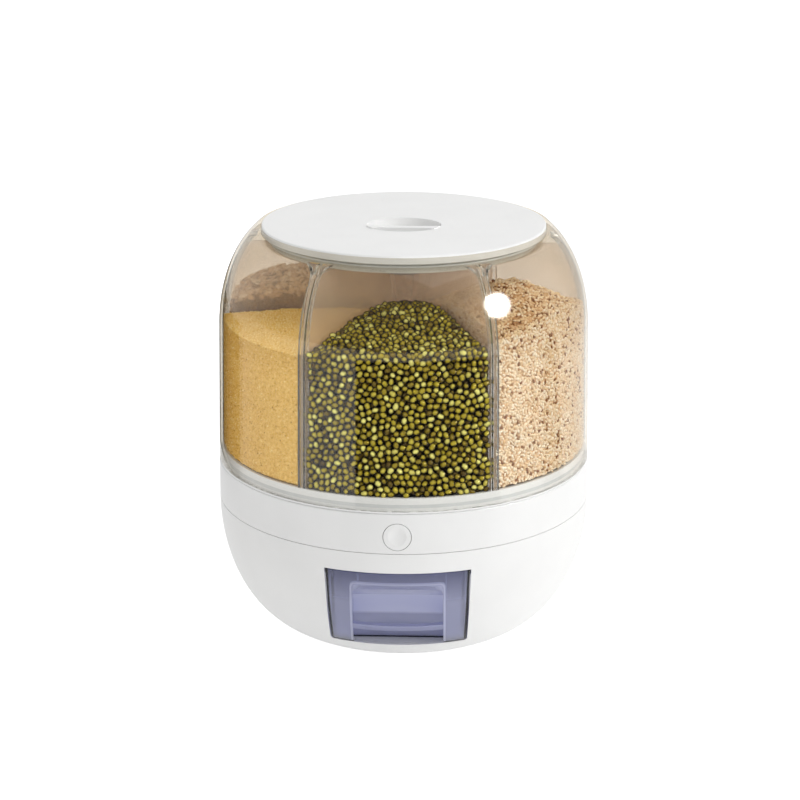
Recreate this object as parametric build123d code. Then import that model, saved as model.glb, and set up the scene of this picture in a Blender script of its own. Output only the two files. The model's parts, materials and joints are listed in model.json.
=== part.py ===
from build123d import *
from math import cos, radians, sin, sqrt, tan
import os

os.makedirs("parts", exist_ok=True)

# Rotating grain dispenser, in millimetres. Z is up, the front faces -Y,
# and the origin lies under the middle of the feet.

# How far cuts run past a face and joined shapes run into each other
over = 1.0
tolerance = 0.01
quarter_turn = 90

# White base
base_radius = 133.4
base_wall = 2.6
foot_proud = 1.5
bowl_foot_radius = 73.0
bowl_curve_height = 93.5
bowl_skirt_height = 2.3
seam_groove = 0.5
seam_groove_depth = 1.2
ring_height = 28.2
ring_wall = 3.0
ring_edge_round = 1.2
lap_height = 6.0
lap_wall = 2.2
lap_clearance = 0.3

# Floor ledge and bottom cover
ledge_height = 4.6
ledge_inside = 17.0
ledge_outside = 2.0
cover_thickness = 2.5
cover_inset = 3.0
cover_clearance = 0.3
foot_count = 4
foot_radius = 8.0
foot_seat_depth = 1.0
foot_inset = 21.0
fastener_inset = 9.0
boss_radius = 4.5
cover_boss_height = 5.4
cover_screw_bite = 7.0
cover_head_gap = 0.2
screw_radius = 1.6
screw_hole_clearance = 0.08
head_radius = 3.1
head_height = 1.8
head_clearance = 0.4
screw_bite = 14.0
bay_screw_bite = 10.5
screw_tip_gap = 0.6

# Deck of the upper housing
deck_drop = 3.1
deck_thickness = 2.8
deck_rib_height = 8.0
deck_rib_thickness = 2.0
deck_rib_angles = (-20, 0, 30, 60, 90, 120, 150, 180, 200)
deck_hub_radius = 18.0
deck_skin = 0.6
pillar_angles = (20, 160, 200, 340)

# Outlet, gate and button
outlet_width = 34.0
outlet_length = 10.0
outlet_inset = 35.4
outlet_corner = 2.0
gate_lap = 2.0
gate_thickness = 3.0
gate_side_lap = 4.0
gate_drop = 0.4
gate_clearance = 0.3
rail_foot_width = 2.9
rail_foot_height = 2.5
rail_flange_width = 9.6
rail_overrun = 2.0
rail_front_screw_inset = 6.5
rail_rear_screw_inset = 5.0
gate_rear_margin = 9.0
gate_front_margin = 8.5
lip_height = 6.4
lip_thickness = 2.0
lip_margin = 4.0
tab_half_width = 5.5
tab_thickness = 2.0
tab_below = 5.5
button_radius = 9.4
button_drop = 7.0
button_gap = 0.4
button_length = 9.0
button_rim = 2.0
button_dish_depth = 1.3
button_stem_radius = 3.5
button_inset = 0.2
button_wall = 1.8
button_screw_bite = 5.0
sleeve_wall = 1.4
sleeve_clearance = 0.25
spring_length = 20.0
spring_spacing = 12.0
spring_coil_radius = 2.5
spring_wire_radius = 0.45
spring_turns = 7
spring_pin_radius = 1.7
spring_pin_gap = 1.0
stop_thickness = 2.5
stop_margin = 2.0

# Chute under the gate
chute_margin = 2.0
chute_wall = 1.6
chute_flange = 2.0
chute_height = 27.0
chute_taper = 2.5
chute_flange_border = 4.0
chute_screw_inset = 1.5

# Seals and running rings on the deck
glide_height = 1.0
glide_inset = 10.4
glide_width = 6.0
gasket_border = 4.0
running_gap = 0.2

# Spindle stack
spindle_step = 1.0
spindle_bore_clearance = 0.06
spindle_head_step = 4.0
spindle_head_height = 4.5
thread_radius = 4.0
thread_length = 7.2
bush_wall = 2.9
bush_flange_step = 3.1
bush_flange_height = 1.6
bush_foot_lift = 0.6
washer_inset = 0.5
washer_thickness = 1.2
nut_across_flats = 13.0
nut_height = 5.0

# Turning tray under the compartments
tray_floor = 2.4
tray_rim_height = 9.0
tray_rim_wall = 2.4
tray_flange_height = 1.1
tray_flange_gap = 0.4
tray_rim_slope_height = 1.8
trough_half_width = 11.0
tray_hub_rise = 5.2
tray_hub_border = 2.0
tray_boss_height = 3.0
tray_seal_lift = 2.0
tray_side_gap = 0.8
tray_seal_height = 2.4
tray_seal_depth = 1.2

# Clear barrel
barrel_step = 0.4
barrel_wall = 2.2
shoulder_height = 94.5
barrel_draft = 2.0
shoulder_overshoot = 7.9
rim_height = 166.6
seat_width = 4.9
collar_wall = 2.0
collar_depth = 4.6
collar_lip = 0.31
ledge_thickness = 2.6
neck_depth = 3.9
neck_wall = 2.0
compartments = 6
rib_thickness = 1.6
rib_depth = 4.5
rib_gap = 0.2
gusset_reach = 9.5
gusset_drop = 7.4
seat_clearance = 0.3

# Dividers and hub
divider_thickness = 2.2
divider_clearance = 0.4
divider_top_gap = 1.1
hub_step = 3.5
hub_wall = 2.5
hub_foot_width = 11.5
hub_foot_height = 2.4
hub_screw_inset = 5.0
hub_top_drop = 18.4
hub_flare_height = 26.0
hub_flare_step = 6.5
hub_cap_thickness = 2.0
hub_cap_lip_height = 2.0
hub_cap_lip_wall = 1.5
hub_cap_lip_gap = 1.0
hub_screw_radius = 1.3
hub_screw_bite = 2.2
hub_screw_head_radius = 2.4
hub_screw_head_height = 1.6

# Lid
lid_radius = 99.9
lid_clearance = 0.4
lid_height = 5.5
lid_plate = 2.6
lid_wall = 2.2
lid_edge_round = 1.2
lid_dish_depth = 0.7
lid_dish_border = 4.9
lid_dish_slope = 23.0
lid_skirt_wall = 1.8
lid_skirt_depth = 13.2
lid_skirt_gap = 2.0
seal_height = 2.8
seal_lift = 2.5
seal_clearance = 0.2
grip_half_length = 26.5
grip_half_width = 21.0
grip_forward = 5.0
grip_depth = 8.0
grip_floor = 2.0
grip_bar_width = 6.0
grip_bar_forward = 15.5
grip_bar_proud = 0.2

# Measuring cup, its window and its bay
window_height = 62.5
window_bottom = 20.3
window_bottom_half = 47.4
window_side_lean = 2.6
window_corner = 2.5
cup_gap = 0.9
cup_wall = 2.4
cup_side_wall = 2.0
cup_inset = 1.9
cup_rim_drop = 7.5
cup_rear = 36.0
pocket_half_width = 31.0
pocket_corner = 9.0
pocket_rise = 52.7
pocket_back_rise = 39.2
pocket_depth_low = 36.9
pocket_depth_high = 20.4
pocket_wall = 2.0
bar_rise = 14.7
bar_height = 4.4
bar_thickness = 4.5
bay_wall = 2.0
bay_side_gap = 3.0
bay_floor_gap = 0.4
bay_wall_rise = 3.0
bay_rear_gap = 3.0
bay_post_x = (20.0, 40.0)
bay_post_inset = 1.0
bay_post_radius = 4.0

# Grain in the compartments: direction from the front, the heap's lean to its left, its distance
# as a share of the barrel's radius, its peak as a share of the room over the trough, and its slope
grain_side_gap = 3.6
grain_wall_gap = 0.5
grain_hub_gap = 1.0
heap_tip_radius = 30.0
grain_fills = {
    "mung_bean_fill": (0, 8.0, 0.451, 0.816, 14.0),
    "corn_meal_fill": (-60, 0, 0.414, 0.712, 5.0),
    "brown_rice_fill": (60, 0, 0.639, 0.900, 24.0),
    "rolled_oat_fill": (-120, 0, 0.602, 0.823, 15.0),
    "red_rice_fill": (180, 0, 0.564, 0.758, 14.0),
    "barley_fill": (120, 0, 0.602, 0.687, 15.0),
}

# Base: heights and radii that follow from the sizes above
bowl_curve_top = foot_proud + bowl_curve_height
seam_height = bowl_curve_top + bowl_skirt_height
ring_top = seam_height + ring_height
ring_inner_radius = base_radius - ring_wall
ledge_bottom = foot_proud + cover_thickness
ledge_top = ledge_bottom + ledge_height
ledge_inner_radius = bowl_foot_radius - ledge_inside
ledge_outer_radius = bowl_foot_radius + ledge_outside
ledge_screw_seat = ledge_bottom + head_height + head_clearance
cover_radius = bowl_foot_radius - cover_inset
foot_circle = bowl_foot_radius - foot_inset
fastener_circle = bowl_foot_radius - fastener_inset
deck_top = ring_top - deck_drop
deck_bottom = deck_top - deck_thickness
glide_outer_radius = ring_inner_radius - glide_inset
glide_inner_radius = glide_outer_radius - glide_width

# Gate and button
outlet_centre = base_radius - outlet_inset
outlet_front = outlet_centre + outlet_length / 2
outlet_back = outlet_centre - outlet_length / 2
gate_half_width = outlet_width / 2 + gate_side_lap
gate_top = deck_bottom - gate_drop
gate_bottom = gate_top - gate_thickness
gate_travel = outlet_length + gate_lap
gate_hole_front = outlet_front + gate_travel
gate_rear = outlet_back - gate_rear_margin
tab_front = gate_hole_front + gate_front_margin
rail_rear = gate_rear - gate_travel - rail_overrun
rail_bottom = gate_bottom - gate_clearance - rail_foot_height
rail_inner = gate_half_width - rail_foot_width + gate_clearance
rail_web = gate_half_width + gate_clearance
rail_outer = rail_web + rail_flange_width
lip_half_width = spring_spacing + lip_margin
stop_half_width = lip_half_width + stop_margin
spring_pin_length = (spring_length - gate_travel - spring_pin_gap) / 2
button_height = gate_bottom - button_drop
button_dish_radius = button_radius - button_rim

# Turning tray, spindle and hub
tray_bottom = deck_top + glide_height + running_gap
trough_height = tray_bottom + tray_floor
trough_inner_radius = outlet_centre - trough_half_width
trough_outer_radius = outlet_centre + trough_half_width
tray_hub_height = trough_height + tray_hub_rise
tray_radius = ring_inner_radius - tray_side_gap
spindle_radius = thread_radius + spindle_step
spindle_head_radius = spindle_radius + spindle_head_step
bush_flange_radius = spindle_radius + bush_wall + bush_flange_step
tray_boss_radius = bush_flange_radius
tray_boss_top = tray_hub_height + tray_boss_height
spindle_top = tray_boss_top + bush_flange_height + running_gap
washer_radius = bush_flange_radius - washer_inset
hub_radius = bush_flange_radius + hub_step
hub_foot_radius = hub_radius + hub_foot_width
hub_foot_top = tray_hub_height + hub_foot_height
hub_screw_circle = hub_foot_radius - hub_screw_inset
tray_hub_radius = hub_foot_radius + tray_hub_border
sector_angle = 360 / compartments

# Barrel and lid
flange_bottom = ring_top + tray_flange_gap
barrel_foot = flange_bottom + tray_flange_height
barrel_radius = base_radius - barrel_step
shoulder_radius = barrel_radius - barrel_draft
rim_top = barrel_foot + rim_height
collar_radius = lid_radius + lid_clearance
collar_outer = collar_radius + collar_wall
mouth_radius = collar_radius - seat_width
seat_height = rim_top - collar_depth
ledge_under = seat_height - ledge_thickness
neck_bottom = ledge_under - neck_depth
tray_rim_top = barrel_foot + tray_rim_height
tray_rim_radius = barrel_radius - barrel_wall - seat_clearance
lid_bottom = seat_height + running_gap
lid_top = lid_bottom + lid_height
lid_dish_outer = lid_radius - lid_dish_border
lid_dish_inner = lid_dish_outer - lid_dish_slope
skirt_bottom = lid_top - lid_skirt_depth
divider_top = skirt_bottom - divider_top_gap
hub_top = divider_top - hub_top_drop
hub_neck_height = hub_top - hub_flare_height
hub_flare_radius = hub_radius + hub_flare_step

# The shoulder is a quarter ellipse, centred so that it meets the collar at the rim
shoulder_rise = rim_height - shoulder_height + shoulder_overshoot
rim_share = sqrt(1 - ((rim_height - shoulder_height) / shoulder_rise) ** 2)
shoulder_centre_radius = (collar_outer + collar_lip - shoulder_radius * rim_share) / (1 - rim_share)

# Cup and its window
window_top = window_bottom + window_height
window_top_half = window_bottom_half + window_side_lean
cup_half_width = window_bottom_half - cup_inset
cup_height = window_height - cup_rim_drop
pocket_top = window_bottom + pocket_rise
pocket_roof = window_bottom + pocket_back_rise
pocket_back_low = base_radius - pocket_depth_low
pocket_back_high = base_radius - pocket_depth_high
bar_bottom = window_bottom + bar_rise
bay_height = cup_height + bay_wall_rise

# Longer than any piece, for cuts and blanks that run right through
big = base_radius + lid_top


def turned(*points):
    """A solid of revolution about Z from its (radius, height) corners."""
    outline = Polyline(*points, close=True)
    return revolve(Plane.XZ * make_face(outline), Axis.Z)


def disc(radius, low, high, x=0.0, y=0.0):
    return Pos(x, y, (low + high) / 2) * Cylinder(radius, high - low)


def pipe(outer, inner, low, high, x=0.0, y=0.0):
    return disc(outer, low, high, x, y) - disc(inner, low - over, high + over, x, y)


def block(x_low, x_high, y_low, y_high, z_low, z_high):
    centre = ((x_low + x_high) / 2, (y_low + y_high) / 2, (z_low + z_high) / 2)
    return Pos(*centre) * Box(x_high - x_low, y_high - y_low, z_high - z_low)


def wide_block(half_width, y_low, y_high, z_low, z_high):
    return block(-half_width, half_width, y_low, y_high, z_low, z_high)


def rod_y(radius, y_low, y_high, x, z):
    rod = Rot(90, 0, 0) * Cylinder(radius, y_high - y_low)
    return Pos(x, (y_low + y_high) / 2, z) * rod


def on_circle(radius, angle):
    return radius * cos(radians(angle)), radius * sin(radians(angle))


def bowl_body(inset, top):
    """The rounded bowl outline, drawn in by inset, closed flat at top."""
    low = foot_proud + inset
    radius = base_radius - inset
    curve = EllipticalCenterArc(
        (bowl_foot_radius, bowl_curve_top),
        radius - bowl_foot_radius,
        bowl_curve_top - low,
        -quarter_turn,
        arc_size=quarter_turn,
    )
    rest = Polyline(
        (radius, bowl_curve_top), (radius, top), (0, top), (0, low), (bowl_foot_radius, low)
    )
    return revolve(Plane.XZ * make_face(curve + rest), Axis.Z)


def barrel_body(inset, low, high):
    """The barrel's straight wall and domed shoulder, drawn in by inset."""
    shoulder_z = barrel_foot + shoulder_height
    top_radius = shoulder_radius - inset
    rise = shoulder_rise - inset
    curve = EllipticalCenterArc(
        (shoulder_centre_radius, shoulder_z),
        top_radius - shoulder_centre_radius,
        rise,
        0,
        arc_size=quarter_turn,
    )
    rest = Polyline(
        (shoulder_centre_radius, shoulder_z + rise),
        (0, shoulder_z + rise),
        (0, barrel_foot),
        (barrel_radius - inset, barrel_foot),
        (top_radius, shoulder_z),
    )
    body = revolve(Plane.XZ * make_face(curve + rest), Axis.Z)
    return body & disc(big, low, high)


def screw(x, y, seat, length, radius=screw_radius, head=head_radius, height=head_height):
    """A pan-head screw driven upwards: its head lies under seat."""
    return disc(head, seat - height, seat, x, y) + disc(radius, seat, seat + length, x, y)


def screw_hole(x, y, low, high, radius=screw_radius):
    return disc(radius + screw_hole_clearance, low, high, x, y)


def pillar_places():
    return [on_circle(fastener_circle, angle) for angle in pillar_angles]


def cover_screw_places():
    return [on_circle(fastener_circle, angle) for angle in (0, 90, 180, 270)]


def bay_post_places():
    circle = fastener_circle - bay_post_inset
    return [(side * x, -sqrt(circle**2 - x**2)) for x in bay_post_x for side in (-1, 1)]


def trapezoid(top, bottom, top_half, bottom_half, corner):
    """The window outline, cut straight through the front of the base."""
    outline = Polyline(
        (-bottom_half, bottom),
        (bottom_half, bottom),
        (top_half, top),
        (-top_half, top),
        close=True,
    )
    face = make_face(outline)
    low_corners = face.vertices().sort_by(Axis.Y)[:2]
    face = fillet(low_corners, corner)
    return extrude(Plane.XZ * face, big)


def make_lower_bowl():
    bowl = bowl_body(0, seam_height) - bowl_body(base_wall, seam_height + over)
    ledge = pipe(ledge_outer_radius, ledge_inner_radius, ledge_bottom, ledge_top)
    bowl += ledge & bowl_body(base_wall / 2, seam_height)
    bowl -= disc(cover_radius + cover_clearance, 0, ledge_bottom)
    bowl -= disc(ledge_inner_radius, 0, ledge_top + over)
    bowl -= pipe(big, base_radius - seam_groove_depth, seam_height - seam_groove, seam_height + over)
    boss_top = ledge_top + cover_boss_height
    for x, y in cover_screw_places():
        bowl += disc(boss_radius, ledge_bottom, boss_top, x, y)
        bowl -= screw_hole(x, y, 0, ledge_bottom + cover_screw_bite + screw_tip_gap)
    for x, y in pillar_places() + bay_post_places():
        bowl -= screw_hole(x, y, 0, big)
        bowl -= disc(head_radius + head_clearance, 0, ledge_screw_seat, x, y)
    return bowl - trapezoid(window_top, window_bottom, window_top_half, window_bottom_half, window_corner)


def make_upper_housing():
    ring = turned(
        (ring_inner_radius, seam_height),
        (base_radius, seam_height),
        (barrel_radius, ring_top),
        (ring_inner_radius, ring_top),
    )
    ring = fillet(ring.edges().filter_by(GeomType.CIRCLE).group_by(Axis.Z)[-1], ring_edge_round)
    lap_outer = base_radius - base_wall - lap_clearance
    lap = pipe(lap_outer, lap_outer - lap_wall, seam_height - lap_height, seam_height + lap_wall)
    rib_length = ring_inner_radius + over
    housing = ring + (lap & disc(rib_length, 0, ring_top))
    housing += disc(rib_length, deck_bottom, deck_top)
    rib_low = deck_bottom - deck_rib_height
    for angle in deck_rib_angles:
        rib = block(
            deck_hub_radius,
            rib_length,
            -deck_rib_thickness / 2,
            deck_rib_thickness / 2,
            rib_low,
            deck_bottom,
        )
        housing += Rot(0, 0, angle) * rib
    hub_outer = deck_hub_radius + deck_rib_thickness / 2
    housing += pipe(hub_outer, hub_outer - deck_rib_thickness, rib_low, deck_bottom)
    for x, y in pillar_places():
        housing += disc(boss_radius, ledge_top, deck_bottom, x, y)
        housing -= screw_hole(x, y, 0, ledge_screw_seat + screw_bite + screw_tip_gap)
    stop_y = -gate_rear + spring_length
    stop_low = gate_top - lip_height
    stop = wide_block(stop_half_width, stop_y, stop_y + stop_thickness, stop_low, deck_bottom)
    for side in (-1, 1):
        x = side * spring_spacing
        stop += rod_y(spring_pin_radius, stop_y - spring_pin_length, stop_y, x, spring_height())
    housing += stop
    housing -= outlet_void(outlet_front, deck_bottom - over, deck_top + over)
    housing -= disc(spindle_radius + spindle_bore_clearance, deck_bottom - over, deck_top + over)
    for x, y, seat in gate_screw_places():
        housing -= screw_hole(x, y, deck_bottom - over, deck_top - deck_skin)
    return housing - rod_y(button_radius + button_gap, -big, -tab_front, 0, button_height)


def outlet_void(front, low, high):
    """The rounded slot that the grain drops through, with its front edge at -front."""
    outline = RectangleRounded(outlet_width, outlet_length, outlet_corner)
    slot = extrude(outline, high - low)
    return Pos(0, -front + outlet_length / 2, low) * slot


def spring_height():
    return gate_top - spring_coil_radius - spring_wire_radius


def gate_screw_places():
    """Screws of the chute and rails: x, y and the face that the head lies under."""
    x = (rail_web + rail_outer) / 2
    chute_seat = rail_bottom - chute_flange
    chute_y = (outlet_front + chute_screw_inset, outlet_back - chute_screw_inset)
    places = [(side * x, -y, chute_seat) for y in chute_y for side in (-1, 1)]
    rail_y = (tab_front - rail_front_screw_inset, rail_rear + rail_rear_screw_inset)
    return places + [(side * x, -y, rail_bottom) for y in rail_y for side in (-1, 1)]


def make_gate_rails():
    foot_top = rail_bottom + rail_foot_height
    rail = block(rail_inner, rail_outer, -tab_front, -rail_rear, rail_bottom, foot_top)
    rail += block(rail_web, rail_outer, -tab_front, -rail_rear, rail_bottom, deck_bottom)
    rails = Compound([rail, mirror(rail, Plane.YZ)])
    for x, y, seat in gate_screw_places():
        rails -= screw_hole(x, y, rail_bottom - over, deck_bottom + over)
    return rails


def make_gate_plate():
    plate = wide_block(gate_half_width, -tab_front, -gate_rear, gate_bottom, gate_top)
    plate -= outlet_void(gate_hole_front, gate_bottom - over, gate_top + over)
    lip_y = -gate_rear
    plate += wide_block(lip_half_width, lip_y - lip_thickness, lip_y, gate_top - lip_height, gate_top)
    for side in (-1, 1):
        x = side * spring_spacing
        plate += rod_y(spring_pin_radius, lip_y, lip_y + spring_pin_length, x, spring_height())
    tab_low = button_height - tab_below
    tab_back = -tab_front + tab_thickness
    plate += wide_block(tab_half_width, -tab_front, tab_back, tab_low, gate_top)
    return plate - rod_y(screw_radius + screw_hole_clearance, -big, tab_back + over, 0, button_height)


def button_rear():
    return -base_radius + button_length


def make_button_cap():
    front = -base_radius + button_dish_depth
    cap = rod_y(button_radius, -big, button_rear(), 0, button_height)
    cap = cap & disc(base_radius - button_inset, 0, ring_top)
    cap -= rod_y(button_radius - button_wall, front + button_wall, button_rear() + over, 0, button_height)
    cap += rod_y(button_stem_radius, front + button_wall / 2, -tab_front, 0, button_height)
    sphere_radius = (button_dish_radius**2 + button_dish_depth**2) / (2 * button_dish_depth)
    cap -= Pos(0, front - sphere_radius, button_height) * Sphere(sphere_radius)
    tip = button_screw_tip() - screw_tip_gap
    return cap - rod_y(screw_radius + screw_hole_clearance, tip, -tab_front + over, 0, button_height)


def button_screw_tip():
    return -tab_front - button_screw_bite


def make_button_screw():
    seat = -tab_front + tab_thickness
    head = rod_y(head_radius, seat, seat + head_height, 0, button_height)
    return head + rod_y(screw_radius, button_screw_tip(), seat, 0, button_height)


def make_button_sleeve():
    """A guide for the button: a ring at the front, a trough under the gate behind it."""
    inner = button_radius + sleeve_clearance
    front = -ring_inner_radius
    rear = button_rear() + gate_travel
    gate_zone = -tab_front - seat_clearance
    sleeve = rod_y(inner + sleeve_wall, front, rear, 0, button_height)
    sleeve -= rod_y(inner, front - over, rear + over, 0, button_height)
    sleeve -= wide_block(big, gate_zone, rear + over, gate_bottom - gate_clearance, big)
    return sleeve & disc(ring_inner_radius, seam_height + lap_wall, deck_bottom)


def make_gate_springs():
    """Two compression springs between the gate's rear lip and the stop."""
    springs = []
    length = spring_length - 2 * spring_wire_radius
    for side in (-1, 1):
        start = (side * spring_spacing, -gate_rear + spring_wire_radius, spring_height())
        path = Helix(length / spring_turns, length, spring_coil_radius, start, (0, 1, 0))
        section = Plane(path @ 0, z_dir=path % 0) * Circle(spring_wire_radius)
        springs.append(sweep(section, path=path))
    return Compound(springs)


def make_gate_screws(chute):
    """The four chute screws or the four rail screws, driven up into the deck."""
    places = gate_screw_places()[:4] if chute else gate_screw_places()[4:]
    tip = deck_top - deck_skin - screw_tip_gap
    return Compound([screw(x, y, seat, tip - seat) for x, y, seat in places])


def make_outlet_chute():
    half_x = outlet_width / 2 + chute_margin
    half_y = outlet_length / 2 + chute_margin
    top = rail_bottom
    low = top - chute_height

    def funnel(grow, extra):
        width = 2 * (half_x + grow)
        length = 2 * (half_y + grow)
        upper = Pos(0, -outlet_centre, top + extra) * Rectangle(width, length)
        lower = Pos(0, -outlet_centre, low - extra) * Rectangle(width - 2 * chute_taper, length)
        return loft([lower, upper])

    half_flange = outlet_length / 2 + chute_flange_border
    flange = wide_block(
        rail_outer, -outlet_centre - half_flange, -outlet_centre + half_flange, top - chute_flange, top
    )
    chute = flange + funnel(chute_wall, 0) - funnel(0, over)
    for x, y, seat in gate_screw_places()[:4]:
        chute -= screw_hole(x, y, top - chute_flange - over, top + over)
    return chute


def make_outlet_gasket():
    """Soft frame round the deck's slot that wipes the tray's underside."""
    frame = wide_block(
        outlet_width / 2 + gasket_border,
        -outlet_front - gasket_border,
        -outlet_back + gasket_border,
        deck_top,
        deck_top + glide_height,
    )
    return frame - outlet_void(outlet_front, deck_top - over, deck_top + glide_height + over)


def make_glide_ring():
    return pipe(glide_outer_radius, glide_inner_radius, deck_top, deck_top + glide_height)


def make_spindle():
    spindle = disc(spindle_head_radius, deck_bottom - spindle_head_height, deck_bottom)
    spindle += disc(spindle_radius, deck_bottom, spindle_top)
    return spindle + disc(thread_radius, spindle_top, spindle_top + thread_length)


def make_spindle_washer():
    hole = thread_radius + spindle_bore_clearance
    return pipe(washer_radius, hole, spindle_top, spindle_top + washer_thickness)


def make_spindle_nut():
    low = spindle_top + washer_thickness
    corner = nut_across_flats / 2 / cos(radians(30))
    nut = Pos(0, 0, low) * extrude(RegularPolygon(corner, 6), nut_height)
    return nut - disc(thread_radius + spindle_bore_clearance, low - over, low + nut_height + over)


def make_barrel_bush():
    top = spindle_top - running_gap
    outer = spindle_radius + bush_wall
    bush = disc(outer, tray_bottom + bush_foot_lift, top - bush_flange_height)
    bush += disc(bush_flange_radius, top - bush_flange_height, top)
    return bush - disc(spindle_radius + spindle_bore_clearance, tray_bottom, top + over)


def make_bottom_cover():
    cover = disc(cover_radius, foot_proud, ledge_bottom)
    for x, y in cover_screw_places():
        cover -= screw_hole(x, y, 0, ledge_bottom + over)
        cover -= disc(head_radius + head_clearance, 0, foot_proud + head_height, x, y)
    for x, y in foot_places():
        cover -= disc(foot_radius, 0, foot_proud + foot_seat_depth, x, y)
    return cover


def foot_places():
    step = 360 / foot_count
    return [on_circle(foot_circle, step / 2 + step * i) for i in range(foot_count)]


def make_rubber_feet():
    top = foot_proud + foot_seat_depth
    return Compound([disc(foot_radius, 0, top, x, y) for x, y in foot_places()])


def make_bottom_cover_screws():
    seat = foot_proud + head_height
    length = ledge_bottom + cover_screw_bite - seat
    height = head_height - cover_head_gap
    return Compound([screw(x, y, seat, length, height=height) for x, y in cover_screw_places()])


def make_ledge_screws(places, bite):
    return Compound([screw(x, y, ledge_screw_seat, bite) for x, y in places])


def make_cup_bay():
    """The white channel that holds the cup, open at the front and on top."""
    half = cup_half_width + bay_side_gap
    floor_top = window_bottom
    floor_low = floor_top - bay_wall
    rear = -cup_rear + bay_rear_gap
    bay = wide_block(half + bay_wall, -big, rear + bay_wall, floor_low, floor_top + bay_height)
    bay -= wide_block(half, -2 * big, rear, floor_top, big)
    inside = bowl_body(base_wall + seat_clearance, seam_height)
    bay = bay & inside
    for x, y in bay_post_places():
        bay += disc(bay_post_radius, ledge_top, floor_low, x, y)
        bay -= screw_hole(x, y, 0, ledge_screw_seat + bay_screw_bite + screw_tip_gap)
    return bay


def across_x(outline, half_width):
    """A prism from a (y, z) outline, centred on the middle plane."""
    face = Plane.YZ * make_face(outline)
    return Pos(-half_width, 0, 0) * extrude(face, 2 * half_width)


def pocket_body(grow):
    """The finger pocket in the cup's front, or its walls when grown."""
    slope = (pocket_top - pocket_roof) / (base_radius - pocket_back_high)
    reach = base_radius - pocket_back_low
    outline = Polyline(
        (-pocket_back_low + grow, 0),
        (-pocket_back_low + grow, window_bottom),
        (-pocket_back_high + grow, pocket_roof + grow),
        (-pocket_back_high - reach, pocket_roof + grow + slope * reach),
        (-pocket_back_high - reach, 0),
        close=True,
    )
    side = across_x(outline, pocket_half_width + grow)
    front = Rectangle(2 * (pocket_half_width + grow), pocket_top + grow)
    front = fillet(front.vertices().sort_by(Axis.Y)[-2:], pocket_corner + grow)
    face = extrude(Plane.XZ * (Pos(0, (pocket_top + grow) / 2) * front), big)
    return side & face


def make_measuring_cup():
    low = window_bottom + bay_floor_gap
    top = window_top - cup_gap
    zone = trapezoid(top, low, window_top_half - cup_gap, window_bottom_half - cup_gap, window_corner)
    outer = bowl_body(0, seam_height)
    inner = bowl_body(cup_wall, seam_height)
    front = (outer - inner) & zone
    body = wide_block(cup_half_width, -big, -cup_rear, low, low + cup_height) & outer
    hollow = wide_block(
        cup_half_width - cup_side_wall, -big, -cup_rear - cup_side_wall, low + cup_side_wall, big
    )
    cup = front + (body - (hollow & inner))
    cup += pocket_body(pocket_wall) & outer & wide_block(cup_half_width, -big, 0, low, top)
    cup -= pocket_body(0)
    bar = (outer - bowl_body(bar_thickness, seam_height)) & wide_block(
        pocket_half_width + pocket_wall / 2, -big, 0, bar_bottom, bar_bottom + bar_height
    )
    return cup + bar


def make_floor_tray():
    rim_inner = tray_rim_radius - tray_rim_wall
    tray = turned(
        (0, tray_bottom + tray_hub_rise),
        (tray_hub_radius, tray_bottom + tray_hub_rise),
        (trough_inner_radius - tray_floor, tray_bottom),
        (tray_radius, tray_bottom),
        (tray_radius, flange_bottom),
        (barrel_radius, flange_bottom),
        (barrel_radius, barrel_foot),
        (tray_rim_radius, barrel_foot),
        (tray_rim_radius, tray_rim_top),
        (rim_inner, tray_rim_top),
        (rim_inner, tray_rim_top - tray_rim_slope_height),
        (trough_outer_radius, trough_height),
        (trough_inner_radius, trough_height),
        (tray_hub_radius, tray_hub_height),
        (0, tray_hub_height),
    )
    tray += disc(tray_boss_radius, tray_bottom + bush_foot_lift, tray_boss_top)
    tray -= disc(spindle_radius + bush_wall, tray_bottom - over, tray_boss_top + over)
    for i in range(compartments):
        slot = outlet_void(outlet_front, tray_bottom - over, trough_height + over)
        tray -= Rot(0, 0, i * sector_angle) * slot
    for x, y in hub_screw_places():
        low = tray_hub_height - hub_screw_bite - running_gap
        tray -= screw_hole(x, y, low, tray_hub_height + over, hub_screw_radius)
    seal_low = barrel_foot + tray_seal_lift
    tray -= pipe(big, tray_rim_radius - tray_seal_depth, seal_low, seal_low + tray_seal_height)
    return tray


def make_tray_seal():
    low = barrel_foot + tray_seal_lift
    outer = barrel_radius - barrel_wall - running_gap
    return pipe(outer, tray_rim_radius - tray_seal_depth, low, low + tray_seal_height)


def hub_screw_places():
    return [on_circle(hub_screw_circle, -90 + i * sector_angle) for i in range(compartments)]


def make_hub_screws():
    screws = []
    for x, y in hub_screw_places():
        head = disc(hub_screw_head_radius, hub_foot_top, hub_foot_top + hub_screw_head_height, x, y)
        shank = disc(hub_screw_radius, tray_hub_height - hub_screw_bite, hub_foot_top, x, y)
        screws.append(head + shank)
    return Compound(screws)


def divider_angles():
    return [-90 + sector_angle * (i + 0.5) for i in range(compartments)]


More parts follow.
